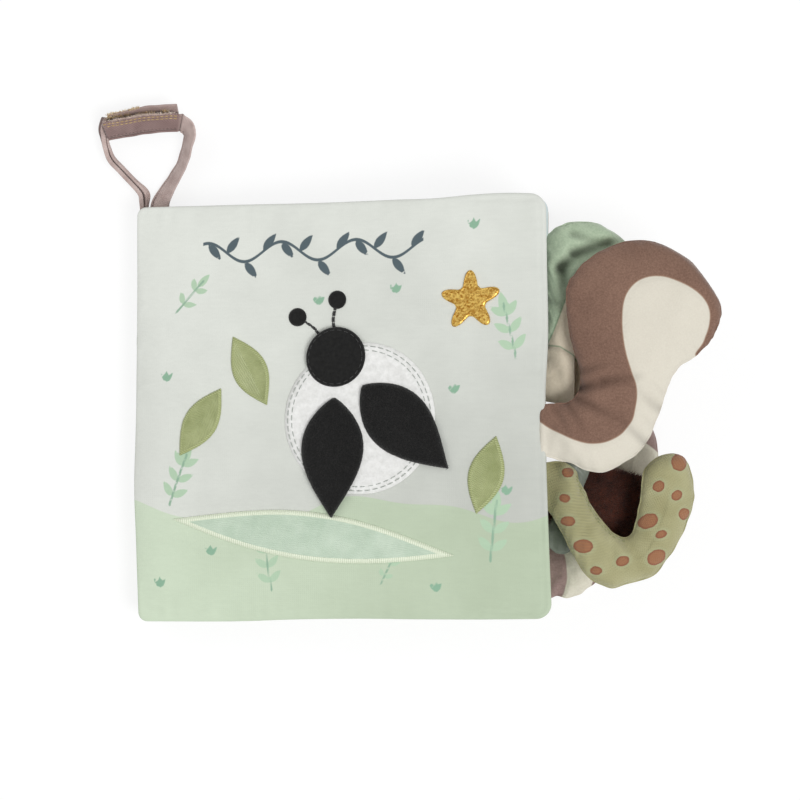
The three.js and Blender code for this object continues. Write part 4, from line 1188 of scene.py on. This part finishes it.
# Minky is a short dense knitted pile: white, matt, dimpled, with a soft bright rim
whiteMinky = fibrous("knittedMinkyWhite", ("#dfdfdc", "#f2f2f0"), (2.4, 4.0, 0.6), 0.45,
                     Roughness=0.95, Sheen_Weight=0.5, Sheen_Roughness=0.5,
                     Specular_IOR_Level=0.1)
blackFelt = woolFelt("woolFeltBlack", "#0d0d0d", "#1f1f1e")
plushBack = woolFelt("plushBackingBlack", "#080808", "#161615")
blackPile = pileTip("plushPileBlack", "#070707", "#242322", 0.25)
greenSatin = satin("satinWovenGreen", ("#bfd3bd", "#cfe0cc"), ("#cfdcc0", "#eef3df"), 2.1)
oliveSatin = satin("satinEmbroideredOlive", ("#949d66", "#b0b883"), ("#8b955c", "#b6bd88"), 1.5)

sewnPatch("minky_disc", discPlan(beetle["disc"], beetle["middle"], 71), 1.5, patchLift,
          whiteMinky, "white_minky", "applique_disc", dome=0.5, soft=0.9, puff=0.12)
headMiddle = onBeetle(beetle["disc"] - beetle["headSink"], 0)
overDisc = patchLift + 1.8
sewnPatch("felt_head", discPlan(beetle["head"], headMiddle, 39), 0.9, overDisc, blackFelt,
          "black_felt", "applique_head", soft=0.35)
for side, sign in (("left", -1), ("right", 1)):
    tipSpot = onBeetle(beetle["disc"] + beetle["feelerReach"], sign * beetle["feelerReach"] / 2)
    sewnPatch("felt_feeler_" + side, discPlan(beetle["feeler"], tipSpot, 21), 0.9, patchLift,
              blackFelt, "black_felt", "applique_feeler_" + side, soft=0.35)
    turn = beetle["turn"] + 180 + sign * beetle["spread"]
    long, wide = beetle["wing"]
    root = beetle["disc"] - beetle["headSink"] - beetle["head"] - beetle["rootGap"]
    middle = onBeetle(root, sign * beetle["rootStep"]) + heading(turn) * (
        beetle["hinge"] + long / 2)
    plan = leafPlan(long, wide, middle, turn, beetle["bulge"], columns=33)[:3]
    over = sewnPatch("plush_back_" + side, plan, 2.2, overDisc + 0.3, plushBack,
                     "black_plush", "plush_wing_" + side, "wing_" + side, dome=0.6, soft=0.8)
    pile = beetle["pile"]
    point, normal = scatter(over, pile["count"], 31 + sign)
    lean = np.append(heading(turn) * pile["lean"], 0.0)
    place(tufts("plush_pile_" + side, point, normal, pile["length"], pile["width"], lean,
                41 + sign), blackPile, "wing_" + side, "black_plush")

# satin leaves: the UV runs along each leaf and in from its edge, in metres, and the rows of
# thread lie along the blade but slant to both sides of a leaf's middle
satinLeaves = (("blade", (124.0, 21.0, (-10.92, -54.6), -8.0, 1.0, 121), 0.9, 0.0, 0.2),
               ("leaf_1", (34.0, 15.0, (-60.06, -3.64), 58.0), 0.95, 0.9, 0.0),
               ("leaf_2", (34.0, 15.0, (-38.22, 18.2), 118.0), 0.95, 0.9, 0.0),
               ("leaf_3", (34.0, 15.0, (65.52, -29.12), 74.0), 0.95, 0.9, 0.0))
for label, shape, pitch, slant, puff in satinLeaves:
    u, y, rim, a, b = leafPlan(*shape)
    thread = (a + np.abs(b) * slant if slant else b) / pitch
    sewnPatch("satin_" + label, (u, y, rim), 0.85, patchLift,
              oliveSatin if slant else greenSatin, "olive_satin" if slant else "green_satin",
              "applique_" + label, marks={"row": thread}, ridge=0.3, soft=0.6,
              uv=np.stack([a * mm, rim * mm], -1), puff=puff)


def starShape(angle):
    # five points: the radius swings between the tips and the hollows
    return 0.52 + 0.48 * (0.5 + 0.5 * np.cos(5 * (angle - math.pi / 2))) ** 1.5


sewnPatch("glitter_star", discPlan(13.0, (58.24, 45.5), 61, starShape), 0.9, patchLift,
          glitterFilm("glitterFilmGold"), "gold_glitter", "applique_star", soft=0.4)
print("sewn shapes")


# Stitching on the front cover
def coverLine(u, y, above):
    # a line on the cover, with the cloth's normal beside it
    return coverPoint(u, y, above), coverNormal(u, y)


def ringLine(middle, radius, above):
    angles = np.linspace(0, 2 * math.pi, 240)
    return coverLine(middle[0] + radius * np.cos(angles), middle[1] + radius * np.sin(angles),
                     above)


feelerLines = []
for sign in (-1, 1):
    start = onBeetle(beetle["disc"] - beetle["headSink"] + beetle["head"] - 1, sign * 3.5)
    bend = onBeetle(beetle["disc"] + beetle["feelerReach"] * 0.62, sign * 4.6)
    end = onBeetle(beetle["disc"] + beetle["feelerReach"], sign * beetle["feelerReach"] / 2)
    line = smoothPath([start, bend, end], 40)
    feelerLines += [coverLine(line[:, 0] + shift, line[:, 1], 0.1) for shift in (-0.35, 0.35)]
greyThread = plainThread("polyesterThreadGrey", "#9aa09a", "#bfc4bd")
blackThread = plainThread("polyesterThreadBlack", "#151515", "#333332")
coverStitching = (
    ("disc_stitching", [ringLine(beetle["middle"], beetle["disc"] - inset, patchLift + 1.5)
                        for inset in beetle["discRows"]], (2.6, 0.9, 0.22), greyThread,
     "white_minky"),
    ("feeler_stitching", feelerLines, (2.6, 0.02, 0.36), blackThread, "black_felt"),
    ("head_stitching", [ringLine(headMiddle, beetle["head"] - beetle["headRow"],
                                 overDisc + 0.85)], (2.2, 0.9, 0.18), blackThread,
     "black_felt"))
for name, lines, sizes, thread, slot in coverStitching:
    piece = stitches(name, lines, dict(zip(("length", "gap", "radius"), sizes)))
    place(piece, thread, "front_cover", slot)
print("stitching")

# Strap loop
strap = {
    "corner": (-85.5, 91.3), "span": 36.0, "reach": 36.0, "width": 11.0, "thick": 0.9,
    "lean": 50.0, "barWidth": 11.0, "patchWidth": 9.0, "patchGap": 1.5, "layer": 1.2,
    # each arm from the seam up: share of the span, share of the reach, height in mm, and how
    # far the tape stands up from flat, in degrees
    "left": ((-0.12, -0.06, 3.9, 40), (-0.127, 0.03, 4.4, 36), (-0.145, 0.143, 5.6, 27),
             (-0.265, 0.29, 6.5, 18), (-0.397, 0.429, 6.82, 16), (-0.51, 0.553, 6.82, 22),
             (-0.57, 0.7, 6.82, 34), (-0.597, 0.85, 6.82, 55), (-0.605, 0.95, 6.82, 68),
             (-0.57, 1.07, 6.82, 76)),
    "right": ((0.07, -0.06, 4.4, 30), (0.08, 0.015, 5.2, 38), (0.108, 0.09, 5.5, 44),
              (0.21, 0.27, 5.6, 52), (0.333, 0.483, 5.8, 57), (0.42, 0.733, 8.6, 59),
              (0.448, 0.86, 9.8, 56), (0.42, 0.95, 9.8, 53), (0.32, 0.998, 9.8, 50),
              (0.1975, 1.0, 10.4, 50), (-0.1, 0.971, 10.8, 50), (-0.595, 0.891, 9.8, 50)),
    # straight line of the bar: its left end, the patches' right end and the corner
    "bar": ((-0.555, 0.895, 9.8), (0.1975, 0.984, 9.8), (0.32, 0.998, 9.8)),
    # the left arm is pleated lengthwise. place across the tape, then where it lies folded
    # and how high, in mm
    "pleat": ((-5.5, -2.0, -0.9), (-3.9, -0.58, 0.3), (-0.35, -0.36, -2.7),
              (0.35, 0.36, -2.7), (3.9, 0.58, 0.3), (5.5, 2.0, -0.9)),
    "flat": ((-5.5, -5.5, -0.2), (0, 0, 0.2), (5.5, 5.5, -0.2)),
    # rise of the flap along the bar, in mm at shares from its left end
    "flapArch": ((0, 0.3), (0.3, 1.2), (0.55, 2.7), (0.8, 2.3), (1, 1.7)),
    "foldAt": -4.3, "barFrom": 43.5,
    # the left arm's pleat falls open by this share, this far from the seam
    "splay": 0.9, "splayAt": 6.0,
}
up = np.array([0, 0, 1.0])


def strapPlace(point):
    return np.array([strap["corner"][0] + point[0] * strap["span"],
                     strap["corner"][1] + point[1] * strap["reach"], point[2]])


def strapRibbon(route, outward, count, fold, seed):
    # a tape carried along a route: its section is bent as the fold says and stood up by the
    # route's own turn
    line = smoothPath([[*strapPlace(p), p[3]] for p in route], count)
    middle, turn = line[:, :3], np.radians(line[:, 3])[:, None]
    ahead = unit(np.gradient(middle, axis=0))
    flat = unit(np.cross(up, ahead)) * outward
    rise = np.cross(ahead, flat) * outward
    wide = flat * np.cos(turn) + rise * np.sin(turn)
    thin = np.cross(ahead, wide)
    thin = thin * np.where(thin[:, 2:] < 0, -1, 1)
    across = edgeSpacing(strap["width"], 0.35, (0, 0.1, 0.3, 0.6)) - strap["width"] / 2
    station, side, lift = np.asarray(fold, float).T
    run = pathLength(middle[:, None], 0)[:, :1]
    opened = 1 + 0 * run
    if outward > 0:
        opened = 1 + strap["splay"] * (across < 0) * bell((run - strap["splayAt"]) / 5)
    spreadOut = np.interp(across, station, side)[None] * opened
    grid = (middle[:, None] + wide[:, None] * spreadOut[..., None]
            + thin[:, None] * np.interp(across, station, lift)[None, :, None])
    run, across = run + 0 * across, across[None] + 0 * run
    wave = 0.2 * softNoise(run, across * 0.4, 9, seed)
    grid = grid + thin[:, None] * wave[..., None]
    return grid, np.stack([run, across], -1) * mm, run, across


def twillTape(name, face, foldShadeColour, bar, spacing=0.9):
    # Twill tape: slanting ribs and a slight sheen, with painted shade that darkens its folds; the
    # bar is the tape's other face, a darker brushed one. Its real ribs are half as far apart.
    made, spot = startFinish(name, Roughness=0.7, Sheen_Weight=0.35, Sheen_Roughness=0.4,
                             Specular_IOR_Level=0.3)
    slant = addNode(made, "ShaderNodeMapping", {
        "Vector": addNode(made, "ShaderNodeUVMap", uv_map="ClothUV"),
        "Rotation": (0, 0, math.radians(38))})
    rib = threadRows(made, slant, spacing, "X", 0.5)
    cloud = blotches(made, spot, 5, ends=(0.3, 0.7))
    onBar = addNode(made, "ShaderNodeAttribute", out="Fac", attribute_name="bar")
    ribShare = addNode(made, "ShaderNodeMapRange", {0: rib, 1: 0, 2: 1, 3: 0, 4: 0.3})
    return surface(made, coats(made, face[0], (cloud, face[1]),
                               (onBar, coats(made, bar[0], (cloud, bar[1]))),
                               (ribShare, face[0]),
                               # painted shade along the folds
                               (markShare(made, "paintedFoldShade", 0.15, 0.9, 0, 0.85), foldShadeColour)),
                   (rib, 0.12))


twill = twillTape("cottonTwillMauve", ("#b6a09a", "#d4c1bb"), "#5f4b48", ("#7d6462", "#967d79"))
hookNylon = twillTape("nylonHookTape", ("#2c231c", "#43362c"), "#221b16",
                      ("#2c231c", "#43362c"), 0.7)
loopNylon = twillTape("nylonLoopTape", ("#8d7872", "#aa958e"), "#5f4b48",
                      ("#8d7872", "#aa958e"), 0.7)
strapBend = ("back_cover", "strap", (0, 90.0, 0), (0, 96.0, 0))
grid, uv, run, across = strapRibbon(strap["left"], 1, 100, strap["pleat"], 71)
# painted shade: the middle of the pleated arm, where it folds in, is drawn darker
clothStrip("twill_left_arm", grid, 0.6, {"paintedFoldShade": 0.8 * np.exp(-(across / 3.2) ** 6)}, uv,
           (strap["width"], pathLength(grid, 0)[-1, 8]), ["sewn_back_cover"], twill, strapBend,
           "ribbon", ("strap_left_arm",))
rightGrid, uv, rightRun, rightAcross = strapRibbon(strap["right"], -1, 190, strap["flat"], 72)
groove = bell((rightAcross - strap["foldAt"]) / 0.5)
endGroove = bell((rightRun - strap["barFrom"]) / 0.6)
facing = surfaceNormals(rightGrid)
facing = facing * np.where(facing[..., 2:] < 0, -1, 1)
rightGrid = rightGrid - facing * (0.9 * np.maximum(groove, endGroove))[..., None]
# painted shade: both grooves of this arm are also drawn darker
clothStrip("twill_right_arm", rightGrid, strap["thick"], {
    "paintedFoldShade": np.maximum(groove, 0.8 * endGroove),
    "bar": smoothStep((rightRun - strap["barFrom"]) / 1.5)}, uv,
    (strap["width"], pathLength(rightGrid, 0)[-1, 8]), ["sewn_back_cover"], twill, strapBend,
    "ribbon", ("strap_right_arm",))

# the patches and the flap lie one behind another along the bar, in its slanting plane
lean = math.radians(strap["lean"])
behind = np.array([0, math.sin(lean), -math.cos(lean)])
barPitch = strap["layer"] + 2 * (0.3 + strap["layer"]) + 0.6
barLine = [strapPlace(p) for p in strap["bar"]]
level = ((0, 0.0), (1, 0.0))
barPieces = (("loop_patch", strap["patchGap"], strap["patchWidth"], 1, level, loopNylon,
              "ribbon", "strap", "strap_loop_patch"),
             ("hook_patch", barPitch - strap["patchGap"], strap["patchWidth"], 1, level,
              hookNylon, "hook_tape", "strap_flap", "strap_hook_patch"),
             ("flap", barPitch, strap["barWidth"], 2, strap["flapArch"], twill, "ribbon",
              "strap_flap", "strap_flap"))
barEdges = {}
for label, step, width, last, arch, finish, slot, body, node in barPieces:
    start, end = barLine[0] + behind * step, barLine[last] + behind * step
    share = np.linspace(0, 1, 70)[:, None]
    ahead = unit(end - start)
    flat = unit(np.cross(up, ahead))
    wide = flat * np.sign(flat[1]) * math.cos(lean) + up * math.sin(lean)
    rise = np.interp(share, *np.asarray(arch, float).T)
    across = edgeSpacing(width, 0.9, (0, 0.1, 0.3, 0.6, 1.0)) - width / 2
    grid = (start + (end - start) * share + wide * rise)[:, None] + wide * across[None, :, None]
    bulge = 0.18 * softNoise(share * 36, across[None] * 0.5, 8, 60 + len(label))
    grid = grid + np.cross(ahead, wide) * bulge[..., None]
    run = pathLength(grid, 0)[:, :1]
    uv = np.stack([run + 0 * across, across[None] + 0 * run], -1) * mm
    clothStrip("strap_%s_cloth" % label, grid, strap["layer"],
               {"bar": np.full(uv.shape[:2], 0.6)}, uv,
               (max(width, 10.0), run[-1, 0]), ["twill_right_arm"], finish, body, slot, (node,),
               area=width * run[-1, 0] * mm * mm)
    barEdges[label] = grid[:, -1]
flapSlant = wide

# rows of stitching along the bar, and the frayed hooks and loops that show over its edges
onBarRows = rightRun[:, 0] > strap["barFrom"] + 1.5
barRows = (("bar_edge_stitching", (4.4, 3.0), {"length": 1.5, "gap": 0.5, "radius": 0.24},
            plainThread("polyesterThreadGold", "#a5854f", "#dcc08a")),
           ("bar_row_stitching", (-2.9,), {"length": 0.8, "gap": 0.9, "radius": 0.24},
            plainThread("polyesterThreadMauve", "#644f4d", "#806865")))
for label, places, thread, finish in barRows:
    rows = []
    for at in places:
        column = np.abs(rightAcross[0] - at).argmin()
        out = facing[onBarRows, column]
        rows.append((rightGrid[onBarRows, column] + out * (strap["thick"] / 2 + 0.02), out))
    place(stitches(label, rows, thread), finish, "strap", "ribbon")


def fringe(name, edge, count, length, body, slot, finish, seed):
    # fibres that stand out of a cut edge, thicker on the ground in some places than in others
    pick = np.random.default_rng(seed)
    at = pick.random(count * 3) * (len(edge) - 1)
    dense = softNoise(at, 0 * at, 16, seed) + 1.1
    at = at[pick.random(len(at)) < dense / 2.2][:count]
    low = at.astype(int)
    point = edge[low] + (edge[low + 1] - edge[low]) * (at - low)[:, None]
    point = point + pick.normal(size=point.shape) * 0.22
    normal = unit(flapSlant + pick.normal(size=point.shape) * 0.45)
    place(tufts(name, point, normal, length, 0.21, (0, 0, 0), seed + 1), finish, body, slot)


loopFibre = pileTip("nylonLoopFibre", "#c9b0a6", "#fbeadb", 0.3)
hookFibre = pileTip("nylonHookFibre", "#c8a06a", "#f6e3bb", 0.3)
fringe("bar_loop_fringe", rightGrid[onBarRows, -1], 420, 1.0, "strap", "ribbon", loopFibre, 91)
fringe("bar_hook_fringe", barEdges["hook_patch"] + flapSlant * 0.2, 150, 1.9, "strap_flap",
       "hook_tape", hookFibre, 93)
fringe("flap_edge_fringe", barEdges["flap"][:34], 150, 1.0, "strap_flap", "ribbon",
       hookFibre, 95)
print("strap")

# Light and floor
studio = {"glow": 1.03, "seen": 0.8, "reach": 4000.0, "below": -0.3, "lit": 0.5,
          "lamps": (("keyLamp", (1000, -680, 2200), 32.0), ("fillLamp", (-900, 600, 1100), 3.6)),
          "lampSize": 900}
paper = startFinish("paperWhite", Roughness=0.9, Specular_IOR_Level=0.0,
                    Base_Color=hexColour("#fafafa"))[0]
seen = addNode(paper, "ShaderNodeMath", {
    0: addNode(paper, "ShaderNodeLightPath", out="Is Camera Ray"), 1: studio["seen"]},
    operation="MULTIPLY")
both = addNode(paper, "ShaderNodeMixShader", {
    0: seen, 1: paper.node_tree.nodes["Principled BSDF"].outputs[0],
    2: addNode(paper, "ShaderNodeEmission", {"Strength": studio["glow"]})})
paper.node_tree.links.new(both, paper.node_tree.nodes["Material Output"].inputs["Surface"])
floor = makeMesh("floor", [(x * studio["reach"], y * studio["reach"], studio["below"])
                           for x, y in ((-1, -1), (1, -1), (1, 1), (-1, 1))],
                 np.array([[0, 1, 2, 3]]))
floor.data.materials.append(paper)

world = bpy.data.worlds.new("softRoom")
scene.world = world
world.use_nodes = True
lit = world.node_tree.nodes["Background"]
lit.inputs["Color"].default_value = (1, 1, 1, 1)
lit.inputs["Strength"].default_value = studio["lit"]
sky = addNode(world, "ShaderNodeMixShader", {
    0: addNode(world, "ShaderNodeLightPath", out="Is Camera Ray"), 1: lit.outputs[0],
    2: addNode(world, "ShaderNodeBackground", {"Color": (1, 1, 1, 1), "Strength": 1.0})})
world.node_tree.links.new(sky, world.node_tree.nodes["World Output"].inputs["Surface"])
for label, spot, power in studio["lamps"]:
    lamp = bpy.data.lights.new(label, "AREA")
    lamp.energy = power
    lamp.size = studio["lampSize"] * mm
    holder = bpy.data.objects.new(label, lamp)
    holder.location = [v * mm for v in spot]
    holder.rotation_euler = (-holder.location).to_track_quat("-Z", "Y").to_euler()
    scene.collection.objects.link(holder)
scene.view_settings.view_transform = "Standard"
print("light")
